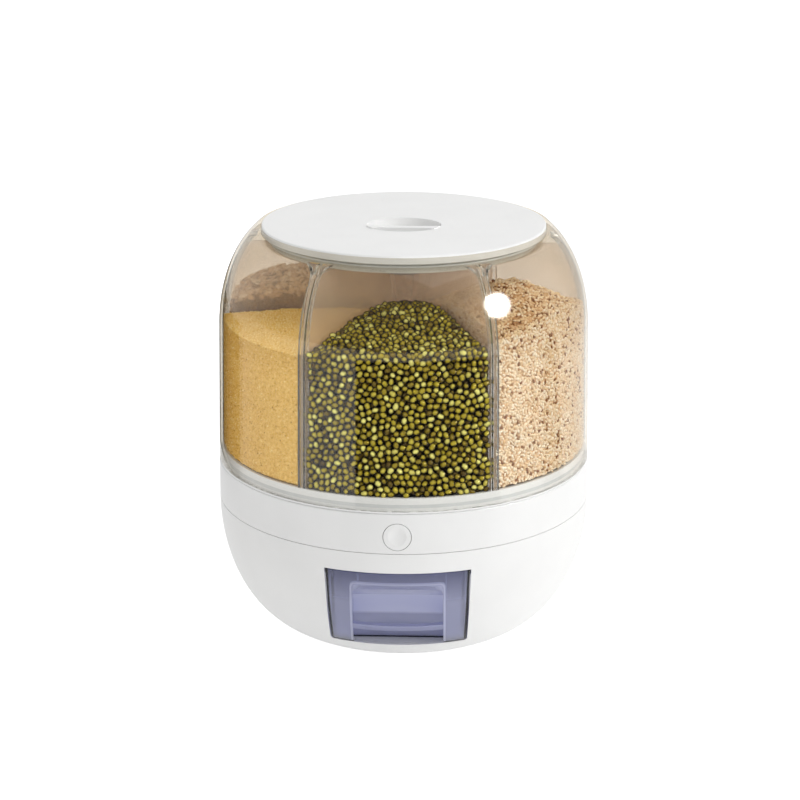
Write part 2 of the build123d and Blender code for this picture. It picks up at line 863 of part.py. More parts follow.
def make_clear_barrel():
    barrel = barrel_body(0, barrel_foot, rim_top) - barrel_body(barrel_wall, 0, rim_top + over)
    barrel -= disc(collar_radius, seat_height, rim_top + over)
    barrel += pipe(collar_outer, collar_radius, ledge_under, rim_top) & barrel_body(0, 0, rim_top)
    barrel += pipe(collar_outer, mouth_radius, ledge_under, seat_height)
    barrel += pipe(mouth_radius + neck_wall, mouth_radius, neck_bottom, ledge_under)
    rib_low = tray_rim_top + seat_clearance
    band = barrel_body(barrel_wall / 2, rib_low, rim_top - over)
    band -= barrel_body(barrel_wall + rib_depth, 0, rim_top)
    band -= disc(collar_radius + collar_wall / 2, 0, big)
    inner = divider_thickness / 2 + rib_gap
    outer = inner + rib_thickness
    gusset = make_face(
        Polyline(
            (outer - rib_gap, ledge_under + over),
            (gusset_reach, ledge_under + over),
            (gusset_reach, ledge_under),
            (outer, ledge_under - gusset_drop),
            (outer - rib_gap, ledge_under - gusset_drop),
            close=True,
        )
    )
    gusset = extrude(Plane.YZ * gusset, big)
    for angle in divider_angles():
        for side in (-1, 1):
            edges = sorted((side * inner, side * outer))
            rib = block(0, big, edges[0], edges[1], 0, big)
            web = gusset if side > 0 else mirror(gusset, Plane.XZ)
            barrel += (Rot(0, 0, angle) * (rib + web)) & band
    return barrel


def cavity(gap):
    """The space inside the barrel over the tray, drawn in by gap."""
    low = trough_height + gap
    rim_inner = tray_rim_radius - tray_rim_wall - gap
    floor = turned(
        (0, big),
        (0, tray_hub_height + gap),
        (tray_hub_radius, tray_hub_height + gap),
        (trough_inner_radius, low),
        (trough_outer_radius, low),
        (rim_inner, tray_rim_top - tray_rim_slope_height + gap),
        (rim_inner, tray_rim_top + gap),
        (big, tray_rim_top + gap),
        (big, big),
    )
    return floor & barrel_body(barrel_wall + gap, barrel_foot, divider_top)


def hub_envelope(grow):
    """Hub, its foot and its flared head as one turned solid, grown by grow."""
    return turned(
        (0, tray_hub_height - over),
        (hub_foot_radius + grow, tray_hub_height - over),
        (hub_foot_radius + grow, hub_foot_top + hub_screw_head_height * grow),
        (hub_radius + grow, hub_foot_top + hub_screw_head_height * grow),
        (hub_radius + grow, hub_neck_height),
        (hub_flare_radius + grow, hub_top),
        (hub_flare_radius + grow, hub_top + hub_cap_thickness),
        (0, hub_top + hub_cap_thickness),
    )


def make_divider_insert():
    space = cavity(divider_clearance)
    insert = turned(
        (hub_radius - hub_wall, tray_hub_height),
        (hub_foot_radius, tray_hub_height),
        (hub_foot_radius, hub_foot_top),
        (hub_radius, hub_foot_top),
        (hub_radius, hub_neck_height),
        (hub_flare_radius, hub_top),
        (hub_flare_radius - hub_wall, hub_top),
        (hub_radius - hub_wall, hub_neck_height),
    )
    shoulder = divider_top - hub_top
    for angle in divider_angles():
        panel = Polyline(
            (hub_radius - hub_wall / 2, tray_hub_height),
            (hub_radius - hub_wall / 2, hub_neck_height),
            (hub_flare_radius - hub_wall / 2, hub_top),
            (hub_flare_radius + seat_clearance, hub_top),
            (hub_flare_radius + shoulder, divider_top),
            (big, divider_top),
            (big, tray_bottom),
            (hub_foot_radius, tray_bottom),
            (hub_foot_radius, tray_hub_height),
            close=True,
        )
        slab = extrude(Plane.XZ * make_face(panel), divider_thickness / 2, both=True)
        insert += Rot(0, 0, angle) * (slab & space)
    for x, y in hub_screw_places():
        insert -= screw_hole(x, y, 0, hub_foot_top + over, hub_screw_radius)
    return insert


def make_hub_cap():
    inner = hub_flare_radius - hub_wall - hub_cap_lip_gap
    cap = disc(hub_flare_radius, hub_top, hub_top + hub_cap_thickness)
    return cap + pipe(inner, inner - hub_cap_lip_wall, hub_top - hub_cap_lip_height, hub_top)


def make_fill(direction, lean, out_share, fullness, slope):
    """Grain in one compartment: a sector under a heaped cone with a round tip."""
    distance = out_share * barrel_radius
    peak = trough_height + fullness * (divider_top - trough_height)
    tip = heap_tip_radius * sin(radians(slope))
    tip_mid = heap_tip_radius * sin(radians(slope / 2))
    tip_z = peak - heap_tip_radius * (1 - cos(radians(slope)))
    tip_mid_z = peak - heap_tip_radius * (1 - cos(radians(slope / 2)))
    reach = 2 * barrel_radius
    far_z = tip_z - (reach - tip) * tan(radians(slope))
    crown = ThreePointArc((0, peak), (tip_mid, tip_mid_z), (tip, tip_z))
    rest = Polyline((tip, tip_z), (reach, far_z), (reach, 0), (0, 0), (0, peak))
    heap = revolve(Plane.XZ * make_face(crown + rest), Axis.Z)
    heap = Rot(0, 0, lean) * Pos(distance, 0, 0) * heap
    half = radians(sector_angle / 2)
    start = grain_side_gap / sin(half)
    wedge = Polyline(
        (start, 0),
        (start + big * cos(half), big * sin(half)),
        (start + big * cos(half), -big * sin(half)),
        close=True,
    )
    grain = extrude(make_face(wedge), big) & heap
    grain = Rot(0, 0, direction - 90) * grain
    return (grain & cavity(grain_wall_gap)) - hub_envelope(grain_hub_gap)


def make_lid_cap():
    skirt_outer = mouth_radius - lid_skirt_gap
    plate_low = lid_top - lid_plate
    lid = turned(
        (0, plate_low - lid_dish_depth),
        (skirt_outer - lid_skirt_wall, plate_low - lid_dish_depth),
        (skirt_outer - lid_skirt_wall, skirt_bottom),
        (skirt_outer, skirt_bottom),
        (skirt_outer, plate_low),
        (lid_radius - lid_wall, plate_low),
        (lid_radius - lid_wall, lid_bottom),
        (lid_radius, lid_bottom),
        (lid_radius, lid_top),
        (lid_dish_outer, lid_top),
        (lid_dish_inner, lid_top - lid_dish_depth),
        (0, lid_top - lid_dish_depth),
    )
    rim = [e for e in lid.edges().filter_by(GeomType.CIRCLE) if e.center().Z > lid_top - tolerance]
    rim = [e for e in rim if e.radius > lid_radius - tolerance]
    lid = fillet(rim, lid_edge_round)
    floor = lid_top - grip_depth
    lid += grip_oval(grip_floor, floor - grip_floor, lid_top - lid_dish_depth)
    lid -= grip_oval(0, floor, lid_top + over)
    bar = wide_block(
        grip_half_length + grip_floor / 2,
        -grip_bar_forward - grip_bar_width / 2,
        -grip_bar_forward + grip_bar_width / 2,
        floor - grip_floor / 2,
        lid_top + grip_bar_proud,
    )
    return lid + (bar & grip_oval(grip_floor / 2, floor - grip_floor, lid_top + over))


def grip_oval(grow, low, high):
    oval = Ellipse(grip_half_length + grow, grip_half_width + grow)
    return Pos(0, -grip_forward, low) * extrude(oval, high - low)


def make_lid_seal():
    low = skirt_bottom + seal_lift
    inner = mouth_radius - lid_skirt_gap
    return pipe(mouth_radius - seal_clearance, inner, low, low + seal_height)


nodes = {
    "lower_bowl": make_lower_bowl(),
    "upper_housing": make_upper_housing(),
    "bottom_cover": make_bottom_cover(),
    "rubber_feet": make_rubber_feet(),
    "bottom_cover_screws": make_bottom_cover_screws(),
    "housing_screws": make_ledge_screws(pillar_places(), screw_bite),
    "cup_bay": make_cup_bay(),
    "cup_bay_screws": make_ledge_screws(bay_post_places(), bay_screw_bite),
    "spindle": make_spindle(),
    "spindle_washer": make_spindle_washer(),
    "spindle_nut": make_spindle_nut(),
    "glide_ring": make_glide_ring(),
    "outlet_gasket": make_outlet_gasket(),
    "outlet_chute": make_outlet_chute(),
    "chute_screws": make_gate_screws(True),
    "gate_rails": make_gate_rails(),
    "gate_rail_screws": make_gate_screws(False),
    "gate_springs": make_gate_springs(),
    "button_sleeve": make_button_sleeve(),
    "button_cap": make_button_cap(),
    "button_screw": make_button_screw(),
    "gate_plate": make_gate_plate(),
    "measuring_cup": make_measuring_cup(),
    "floor_tray": make_floor_tray(),
    "tray_seal": make_tray_seal(),
    "barrel_bush": make_barrel_bush(),
    "hub_screws": make_hub_screws(),
    "clear_barrel": make_clear_barrel(),
    "divider_insert": make_divider_insert(),
    "hub_cap": make_hub_cap(),
    "lid_cap": make_lid_cap(),
    "lid_seal": make_lid_seal(),
}
for name, sizes in grain_fills.items():
    nodes[name] = make_fill(*sizes)

for name, shape in nodes.items():
    export_step(shape, f"parts/{name}.step")
    print(name, round(shape.volume / 1000, 2), "cm3")
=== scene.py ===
import json
import math
import bmesh
import bpy
import numpy as np
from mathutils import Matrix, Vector, kdtree, noise

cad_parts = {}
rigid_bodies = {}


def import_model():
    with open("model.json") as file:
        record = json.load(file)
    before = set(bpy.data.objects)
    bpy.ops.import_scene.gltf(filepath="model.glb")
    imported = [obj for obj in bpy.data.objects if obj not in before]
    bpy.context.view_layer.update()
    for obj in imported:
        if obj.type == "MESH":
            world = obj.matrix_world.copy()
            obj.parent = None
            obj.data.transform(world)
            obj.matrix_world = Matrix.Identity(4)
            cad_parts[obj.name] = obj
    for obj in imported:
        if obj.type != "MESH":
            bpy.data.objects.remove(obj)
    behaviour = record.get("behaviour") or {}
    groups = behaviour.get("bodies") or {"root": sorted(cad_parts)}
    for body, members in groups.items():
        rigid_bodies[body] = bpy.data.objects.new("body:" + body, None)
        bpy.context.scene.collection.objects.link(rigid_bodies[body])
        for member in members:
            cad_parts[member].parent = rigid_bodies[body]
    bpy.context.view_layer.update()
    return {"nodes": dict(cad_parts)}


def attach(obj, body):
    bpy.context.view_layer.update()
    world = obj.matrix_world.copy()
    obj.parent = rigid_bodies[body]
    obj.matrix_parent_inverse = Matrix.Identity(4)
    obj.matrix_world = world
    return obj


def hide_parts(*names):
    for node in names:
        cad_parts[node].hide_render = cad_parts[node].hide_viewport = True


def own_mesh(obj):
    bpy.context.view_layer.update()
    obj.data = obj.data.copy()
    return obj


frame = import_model()
nodes = frame["nodes"]
mm = 0.001
random = np.random.default_rng(41)
print("frame loaded:", len(nodes), "nodes")


def linear(hexCode):
    values = [int(hexCode[i:i + 2], 16) / 255 for i in (1, 3, 5)]
    return tuple(v / 12.92 if v <= 0.04045 else ((v + 0.055) / 1.055) ** 2.4 for v in values) + (1.0,)


def addNode(tree, kind, settings=None, links=None):
    node = tree.nodes.new(kind)
    for key, value in (settings or {}).items():
        if key == "stops":
            ramp = node.color_ramp
            while len(ramp.elements) < len(value):
                ramp.elements.new(0.5)
            for element, (place, colour) in zip(ramp.elements, value):
                element.position = place
                element.color = colour
        elif isinstance(key, int) or key in node.inputs:
            node.inputs[key].default_value = value
        else:
            setattr(node, key, value)
    for key, socket in (links or {}).items():
        tree.links.new(socket, node.inputs[key])
    return node


def emptyMaterial(name):
    material = bpy.data.materials.new(name)
    material.use_nodes = True
    material.node_tree.nodes.clear()
    return material, material.node_tree


def perMetre(sizeInMm):
    return 1 / (sizeInMm * mm)


# plastics, rubber and steel

def solidFinish(name, look):
    material, tree = emptyMaterial(name)
    place = addNode(tree, "ShaderNodeTexCoord").outputs["Object"]
    broad, fine = (
        addNode(tree, "ShaderNodeTexNoise", {"Scale": perMetre(look[size]), "Detail": detail}, {"Vector": place})
        for size, detail in (("broad", 2.0), ("fine", 3.0))
    )
    colour = addNode(
        tree, "ShaderNodeValToRGB",
        {"stops": [(0.3, linear(look["colours"][0])), (0.7, linear(look["colours"][1]))]},
        {"Fac": broad.outputs["Fac"]},
    )
    low, high = look["roughness"]
    rough = addNode(
        tree, "ShaderNodeMapRange", {"To Min": low, "To Max": high}, {"Value": fine.outputs["Fac"]}
    )
    bump = addNode(
        tree, "ShaderNodeBump", {"Strength": look["bump"], "Distance": 0.1 * mm}, {"Height": fine.outputs["Fac"]}
    )
    surface = addNode(
        tree, "ShaderNodeBsdfPrincipled",
        {"Metallic": look.get("metallic", 0.0), "IOR": look.get("ior", 1.5)},
        {"Base Color": colour.outputs["Color"], "Roughness": rough.outputs["Result"],
         "Normal": bump.outputs["Normal"]},
    )
    addNode(tree, "ShaderNodeOutputMaterial", None, {"Surface": surface.outputs["BSDF"]})
    return material


# moulded ABS: an even milky white with a soft sheen and the faintest orange peel
whiteAbs = solidFinish("whiteAbsMoulded", {
    "colours": ("#F1F1F0", "#F5F5F4"), "broad": 45, "fine": 1.2, "roughness": (0.26, 0.36), "bump": 0.02,
    "ior": 1.53,
})
# acetal: a duller, creamier white with a waxy surface
naturalAcetal = solidFinish("naturalAcetalMoulded", {
    "colours": ("#E4E3DC", "#EAE9E3"), "broad": 12, "fine": 0.6, "roughness": (0.42, 0.55), "bump": 0.05,
    "ior": 1.48,
})
# silicone: grey-white, soft and matt
whiteSilicone = solidFinish("siliconeMoulded", {
    "colours": ("#D6D8D8", "#DDDFDF"), "broad": 10, "fine": 0.5, "roughness": (0.5, 0.62), "bump": 0.08,
    "ior": 1.41,
})
# rubber feet: dark grey and dull, with a dusty bloom
greyRubber = solidFinish("nitrileRubberPressed", {
    "colours": ("#4A4A4C", "#58585A"), "broad": 6, "fine": 0.4, "roughness": (0.7, 0.85), "bump": 0.15,
    "ior": 1.52,
})
# zinc-plated screws: bright grey with fine drawing marks
zincSteel = solidFinish("zincPlatedSteel", {
    "colours": ("#A9ACAF", "#BDC0C2"), "broad": 3, "fine": 0.3, "roughness": (0.25, 0.42), "bump": 0.08,
    "metallic": 1.0,
})
# turned spindle: darker, smoother steel
turnedSteel = solidFinish("turnedSteel", {
    "colours": ("#8F9295", "#A2A5A8"), "broad": 5, "fine": 0.2, "roughness": (0.18, 0.3), "bump": 0.05,
    "metallic": 1.0,
})


def panelLook(tree, place, colour, look):
    # the cup's front panel is darkest along its edges, which show the sheet's whole depth, and painted shade there
    # also stands for the shaded gap between cup and window; it takes more haze towards its foot, painted light that
    # makes it lighter lower down;
    # its finger pocket has a painted highlight along its moulded edge, and a back wall that is pale above painted
    # shade behind the bar
    # gives the panel's colour and its share of haze
    parts = addNode(tree, "ShaderNodeSeparateXYZ", None, {"Vector": place})
    across = addNode(tree, "ShaderNodeMath", {"operation": "ABSOLUTE"}, {0: parts.outputs["X"]})
    width = addNode(
        tree, "ShaderNodeMath",
        {"operation": "MULTIPLY_ADD", 1: -look["lean"], 2: (look["lean"] * look["foot"] - look["half"]) * mm},
        {0: parts.outputs["Z"]},
    )
    past = addNode(tree, "ShaderNodeMath", {"operation": "ADD"}, {0: across.outputs[0], 1: width.outputs[0]})
    line = look["line"] * mm
    fade = look["solid"] * line
    side = addNode(tree, "ShaderNodeMapRange", {"From Min": -line, "From Max": -fade}, {"Value": past.outputs[0]})
    foot = look["foot"] * mm
    low = addNode(
        tree, "ShaderNodeMapRange", {"From Min": foot + line, "From Max": foot + fade}, {"Value": parts.outputs["Z"]}
    )
    front = addNode(
        tree, "ShaderNodeMapRange", {"From Min": -look["front"][0] * mm, "From Max": -look["front"][1] * mm},
        {"Value": parts.outputs["Y"]},
    )
    pocket = look["pocket"]
    half = 0.5 * pocket["line"] * mm
    # how far outside the pocket's arch a point lies, and whether it is on the pocket's back wall
    outward, upward = (
        addNode(tree, "ShaderNodeMath", {"operation": "SUBTRACT", 1: pocket[edge] * mm}, {0: way})
        for edge, way in (("half", across.outputs[0]), ("top", parts.outputs["Z"]))
    )
    arch = addNode(
        tree, "ShaderNodeMath", {"operation": "SMOOTH_MAX", 2: pocket["corner"] * mm},
        {0: outward.outputs[0], 1: upward.outputs[0]},
    )
    inset = addNode(
        tree, "ShaderNodeMath", {"operation": "MULTIPLY_ADD", 1: pocket["lean"]},
        {0: parts.outputs["Z"], 2: parts.outputs["Y"]},
    )
    behind = addNode(
        tree, "ShaderNodeMapRange", {"From Min": -pocket["back"][0] * mm, "From Max": -pocket["back"][1] * mm},
        {"Value": inset.outputs[0]},
    )
    within = addNode(tree, "ShaderNodeMath", {"operation": "LESS_THAN", 1: 0.0}, {0: arch.outputs[0]})
    deep = addNode(
        tree, "ShaderNodeMath", {"operation": "MULTIPLY"}, {0: behind.outputs["Result"], 1: within.outputs[0]}
    )
    # painted highlight: a bright line of haze along the pocket's arch, on its moulded edge
    off = addNode(tree, "ShaderNodeMath", {"operation": "SUBTRACT", 1: half}, {0: arch.outputs[0]})
    away = addNode(tree, "ShaderNodeMath", {"operation": "ABSOLUTE"}, {0: off.outputs[0]})
    rim = addNode(
        tree, "ShaderNodeMapRange", {"From Min": half, "From Max": pocket["solid"] * half}, {"Value": away.outputs[0]}
    )
    # painted shade: on the pocket's back wall the haze stays low up to just above the bar, so it is darker there, and
    # pale above
    pale = addNode(
        tree, "ShaderNodeMapRange", {"From Min": pocket["pale"][0] * mm, "From Max": pocket["pale"][1] * mm},
        {"Value": parts.outputs["Z"]},
    )
    bright = addNode(
        tree, "ShaderNodeMix", {"data_type": "FLOAT"},
        {0: deep.outputs[0], 2: rim.outputs["Result"], 3: pale.outputs["Result"]},
    )
    either = addNode(
        tree, "ShaderNodeMath", {"operation": "MAXIMUM"}, {0: side.outputs["Result"], 1: low.outputs["Result"]}
    )
    edge = addNode(
        tree, "ShaderNodeMath", {"operation": "MULTIPLY"}, {0: either.outputs[0], 1: front.outputs["Result"]}
    )
    # partly painted shade: the navy band along the panel's sides and foot is the sheet's depth seen edge-on and also
    # the shaded gap between cup and window
    tinted = addNode(
        tree, "ShaderNodeMix", {"data_type": "RGBA", 7: linear(look["edge"])}, {0: edge.outputs[0], 6: colour}
    )
    # painted light: the panel's haze rises from the given height towards its foot, so it is lighter lower down
    paintedLightHaze = addNode(
        tree, "ShaderNodeMapRange",
        {"From Min": look["paintedLightHeights"][0] * mm, "From Max": look["paintedLightHeights"][1] * mm, "To Min": look["haze"][0],
         "To Max": look["haze"][1]},
        {"Value": parts.outputs["Z"]},
    )
    lighter = addNode(
        tree, "ShaderNodeMath", {"operation": "MULTIPLY_ADD", 1: pocket["haze"]},
        {0: bright.outputs[0], 2: paintedLightHaze.outputs["Result"]},
    )
    haze = addNode(
        tree, "ShaderNodeMix", {"data_type": "FLOAT", 3: 0.0}, {0: edge.outputs[0], 2: lighter.outputs[0]}
    )
    return tinted.outputs[2], haze.outputs[0]


def clearFinish(name, look):
    # two thin faces a wall: each lets light straight through, darker where it is seen edge-on
    material, tree = emptyMaterial(name)
    place = addNode(tree, "ShaderNodeTexCoord").outputs["Object"]
    ripple = addNode(
        tree, "ShaderNodeTexNoise", {"Scale": perMetre(look["ripple"]), "Detail": 1.0}, {"Vector": place}
    )
    bump = addNode(
        tree, "ShaderNodeBump", {"Strength": look["bump"], "Distance": 0.2 * mm}, {"Height": ripple.outputs["Fac"]}
    )
    facing = addNode(tree, "ShaderNodeLayerWeight", {"Blend": 0.5}).outputs["Facing"]
    tint = addNode(
        tree, "ShaderNodeValToRGB",
        {"stops": [(p, linear(c)) for p, c in look["tint"]]}, {"Fac": facing},
    )
    colour, links = tint.outputs["Color"], {}
    # painted shade: above a given height the tint is multiplied by a warm grey, so the dome looks darker than the
    # straight wall
    if "dome" in look:
        dome = look["dome"]
        height = addNode(tree, "ShaderNodeSeparateXYZ", None, {"Vector": place}).outputs["Z"]
        rise = addNode(
            tree, "ShaderNodeMapRange", {"From Min": dome["from"] * mm, "From Max": dome["to"] * mm},
            {"Value": height},
        )
        colour = addNode(
            tree, "ShaderNodeMix", {"data_type": "RGBA", "blend_type": "MULTIPLY", 7: linear(dome["colour"])},
            {0: rise.outputs["Result"], 6: colour},
        ).outputs[2]
    if "panel" in look:
        colour, links[0] = panelLook(tree, place, colour, look["panel"])
    through = addNode(tree, "ShaderNodeBsdfTransparent", None, {"Color": colour})
    near = addNode(tree, "ShaderNodeBsdfDiffuse", {"Color": linear(look["haze"])})
    far = addNode(tree, "ShaderNodeBsdfTranslucent", {"Color": linear(look["haze"])})
    body = addNode(
        tree, "ShaderNodeMixShader", {0: look.get("milk", 0.0)}, {1: near.outputs["BSDF"], 2: far.outputs["BSDF"]}
    )
    links.update({1: through.outputs["BSDF"], 2: body.outputs["Shader"]})
    hazy = addNode(tree, "ShaderNodeMixShader", {0: look["hazeShare"]}, links)
    mirror = addNode(
        tree, "ShaderNodeBsdfGlossy", {"Color": (1, 1, 1, 1), "Roughness": look["roughness"]},
        {"Normal": bump.outputs["Normal"]},
    )
    # a curve like Schlick's, the same from both sides of the wall
    steep = addNode(tree, "ShaderNodeMath", {"operation": "POWER", 1: look["edgePower"]}, {0: facing})
    straight = ((look["ior"] - 1) / (look["ior"] + 1)) ** 2
    share = addNode(
        tree, "ShaderNodeMath", {"operation": "MULTIPLY_ADD", 1: 1 - straight, 2: straight}, {0: steep.outputs[0]}
    )
    surface = addNode(
        tree, "ShaderNodeMixShader", None,
        {0: share.outputs[0], 1: hazy.outputs["Shader"], 2: mirror.outputs["BSDF"]},
    )
    # light on its way to the grain goes straight through
    path = addNode(tree, "ShaderNodeLightPath")
    onward = addNode(
        tree, "ShaderNodeMath", {"operation": "MAXIMUM"},
        {0: path.outputs["Is Shadow Ray"], 1: path.outputs["Is Diffuse Ray"]},
    )
    lit = addNode(tree, "ShaderNodeBsdfTransparent", {"Color": linear(look["lit"])})
    whole = addNode(
        tree, "ShaderNodeMixShader", None,
        {0: onward.outputs[0], 1: surface.outputs["Shader"], 2: lit.outputs["BSDF"]},
    )
    addNode(tree, "ShaderNodeOutputMaterial", None, {"Surface": whole.outputs["Shader"]})
    return material


# injection-moulded SAN: water clear face on, warm grey where the dome turns away, dark at its edge; above the
# shoulder it also carries a painted warm-grey shade
clearSan = clearFinish("clearSanMoulded", {
    "tint": [(0.0, "#FEFEFD"), (0.5, "#FCFBF9"), (0.8, "#F6F3EE"), (0.93, "#E6E0D4"), (0.98, "#98907E"),
             (1.0, "#443E30")],
    "haze": "#F2F0EC", "hazeShare": 0.003, "lit": "#FDFDFC", "edgePower": 7.0,
    # painted shade on the dome
    "dome": {"from": 212, "to": 250, "colour": "#F3F1ED"},
    "ripple": 60, "bump": 0.02, "roughness": 0.04, "ior": 1.36,
})
# the same plastic in the dividers, hazier
dividerSan = clearFinish("clearSanDivider", {
    "tint": [(0.0, "#F8F5F3"), (0.6, "#EEE8E6"), (1.0, "#A9A19E")],
    "haze": "#FFECD4", "hazeShare": 0.27, "milk": 0.5, "lit": "#FDFCFB", "edgePower": 5.0,
    "ripple": 40, "bump": 0.03, "roughness": 0.12, "ior": 1.4,
})
# hub cap: the divider moulding is thick there; its smoke grey is painted shade for the dark middle under the lid
hubShadeSan = clearFinish("hubSanPaintedShade", {
    "tint": [(0.0, "#D8D2CE"), (0.6, "#BEB8B4"), (1.0, "#5C5856")],
    "haze": "#A8A2A0", "hazeShare": 0.3, "milk": 0.3, "lit": "#E6E2E0", "edgePower": 5.0,
    "ripple": 30, "bump": 0.03, "roughness": 0.15, "ior": 1.45,
})
# tinted cup: blue-violet through the wall, nearly navy along its edges
tintedSan = clearFinish("tintedSanMoulded", {
    "tint": [(0.0, "#DFE1F0"), (0.55, "#CDD0E8"), (0.82, "#8388B0"), (0.94, "#343A66"), (1.0, "#1C2048")],
    "haze": "#D2D5EE", "hazeShare": 0.16, "lit": "#ECEDF6", "edgePower": 5.0,
    "ripple": 30, "bump": 0.02, "roughness": 0.06, "ior": 1.5,
    # the panel's painted shade along its edges and behind the pocket's bar, painted highlight on the pocket's edge,
    # and painted light towards its foot
    "panel": {
        "half": 46.5, "lean": 0.0416, "foot": 20.7, "line": 1.7, "solid": 0.6, "front": (92, 95), "edge": "#0C1030",
        "paintedLightHeights": (80, 58), "haze": (0.06, 0.3),
        "pocket": {"half": 31.0, "top": 73.0, "corner": 6.0, "line": 2.0, "solid": 0.4, "lean": 0.42,
                   "back": (99.6, 97.6), "pale": (42.0, 44.5), "haze": 0.3},
    },
})


def ribFinish(name, look):
    # solid clear bars bend what is behind them; lamps shine straight through
    material, tree = emptyMaterial(name)
    place = addNode(tree, "ShaderNodeTexCoord").outputs["Object"]
    ripple = addNode(
        tree, "ShaderNodeTexNoise", {"Scale": perMetre(look["ripple"]), "Detail": 2.0}, {"Vector": place}
    )
    bump = addNode(
        tree, "ShaderNodeBump", {"Strength": look["bump"], "Distance": 0.3 * mm}, {"Height": ripple.outputs["Fac"]}
    )
    glass = addNode(
        tree, "ShaderNodeBsdfPrincipled",
        {"Base Color": linear(look["colour"]), "Roughness": look["roughness"], "IOR": look["ior"],
         "Transmission Weight": 1.0},
        {"Normal": bump.outputs["Normal"]},
    )
    through = addNode(tree, "ShaderNodeBsdfTransparent", {"Color": linear(look["shadow"])})
    lamp = addNode(tree, "ShaderNodeLightPath").outputs["Is Shadow Ray"]
    surface = addNode(
        tree, "ShaderNodeMixShader", None, {0: lamp, 1: glass.outputs["BSDF"], 2: through.outputs["BSDF"]}
    )
    addNode(tree, "ShaderNodeOutputMaterial", None, {"Surface": surface.outputs["Shader"]})
    return material


clearRib = ribFinish("clearSanRib", {
    "colour": "#EDF1F5", "shadow": "#EEEEEE", "roughness": 0.05, "ior": 1.45, "ripple": 8, "bump": 0.15,
})


def grainFinish(name, look):
    # colour runs from grain to grain by the tone of each, with fine spots on the skin
    material, tree = emptyMaterial(name)
    place = addNode(tree, "ShaderNodeTexCoord").outputs["Object"]
    tone = addNode(tree, "ShaderNodeAttribute", {"attribute_name": "tone"}).outputs["Fac"]
    mark = addNode(tree, "ShaderNodeAttribute", {"attribute_name": "mark"}).outputs["Fac"]
    spots = addNode(
        tree, "ShaderNodeTexNoise", {"Scale": perMetre(look["spots"]), "Detail": 4.0}, {"Vector": place}
    ).outputs["Fac"]
    blend = addNode(
        tree, "ShaderNodeMath", {"operation": "MULTIPLY_ADD", 1: look["spotShare"]}, {0: spots, 2: tone}
    )
    centred = addNode(
        tree, "ShaderNodeMath", {"operation": "SUBTRACT", 1: look["spotShare"] / 2}, {0: blend.outputs[0]}
    )
    stops = look["colours"]
    colour = addNode(
        tree, "ShaderNodeValToRGB",
        {"stops": [(i / (len(stops) - 1), linear(c)) for i, c in enumerate(stops)]}, {"Fac": centred.outputs[0]},
    )
    marked = addNode(
        tree, "ShaderNodeMix", {"data_type": "RGBA", 7: linear(look["mark"])},
        {0: mark, 6: colour.outputs["Color"]},
    )
    # painted shade: a grain is darker towards its edge, where it touches the next
    facing = addNode(tree, "ShaderNodeLayerWeight", {"Blend": 0.5}).outputs["Facing"]
    edge = addNode(
        tree, "ShaderNodeMapRange",
        {"From Min": look["rimFrom"], "From Max": look["rimTo"], "To Max": look["rimShare"]}, {"Value": facing},
    )
    rimmed = addNode(
        tree, "ShaderNodeMix", {"data_type": "RGBA", 7: linear(look["rim"])},
        {0: edge.outputs["Result"], 6: marked.outputs[2]},
    )
    bump = addNode(tree, "ShaderNodeBump", {"Strength": look["bump"], "Distance": 0.3 * mm}, {"Height": spots})
    rough = addNode(
        tree, "ShaderNodeMapRange", {"To Min": look["roughness"][0], "To Max": look["roughness"][1]}, {"Value": spots}
    )
    surface = addNode(
        tree, "ShaderNodeBsdfPrincipled", {"IOR": 1.45, "Specular IOR Level": look.get("sheen", 0.5)},
        {"Base Color": rimmed.outputs[2], "Roughness": rough.outputs["Result"], "Normal": bump.outputs["Normal"]},
    )
    addNode(tree, "ShaderNodeOutputMaterial", None, {"Surface": surface.outputs["BSDF"]})
    return material


def bareObject(name, mesh, material):
    piece = bpy.data.objects.new(name, mesh)
    bpy.context.scene.collection.objects.link(piece)
    mesh.materials.clear()
    mesh.materials.append(material)
    return piece


# clear barrel: one moulding with its collar, and the guide ribs for the dividers

barrel = {
    "foot": 127.0, "radius": 133.0, "wall": 2.2, "shoulder": 221.5, "shoulderRadius": 131.0,
    "domeCentre": 80.9, "domeRise": 80.0, "rimTop": 293.6, "seat": 289.0, "ledgeUnder": 286.4,
    "collarRadius": 100.3, "collarWall": 2.0, "mouth": 95.4, "neckWall": 2.0, "neckBottom": 282.5,
    "around": 240, "domeSteps": 30, "sharp": 32,
}


def domeRadius(z, inset):
    b = barrel
    rise = (z - b["shoulder"]) / (b["domeRise"] - inset)
    return b["domeCentre"] + (b["shoulderRadius"] - inset - b["domeCentre"]) * math.sqrt(max(0.0, 1 - rise * rise))


def wallRadius(z, inset):
    b = barrel
    if z >= b["shoulder"]:
        return domeRadius(z, inset)
    share = (z - b["foot"]) / (b["shoulder"] - b["foot"])
    return b["radius"] + (b["shoulderRadius"] - b["radius"]) * share - inset


def turned(name, profile, around):
    # a closed ring of (radius, height) points turned about the upright axis
    angles = np.linspace(0, 2 * math.pi, around, endpoint=False)
    points = np.array(profile) * mm
    count = len(points)
    ring = np.stack([np.cos(angles), np.sin(angles)], 1)
    verts = np.concatenate([
        np.stack([points[:, 0] * c, points[:, 0] * s, points[:, 1]], 1) for c, s in ring
    ])
    faces = []
    for i in range(around):
        a, b = i * count, (i + 1) % around * count
        for j in range(count):
            k = (j + 1) % count
            faces.append((a + j, b + j, b + k, a + k))
    mesh = bpy.data.meshes.new(name)
    mesh.from_pydata(verts.tolist(), [], faces)
    bm = bmesh.new()
    bm.from_mesh(mesh)
    bmesh.ops.recalc_face_normals(bm, faces=bm.faces)
    bm.to_mesh(mesh)
    bm.free()
    mesh.shade_smooth()
    mesh.set_sharp_from_angle(angle=math.radians(barrel["sharp"]))
    return mesh


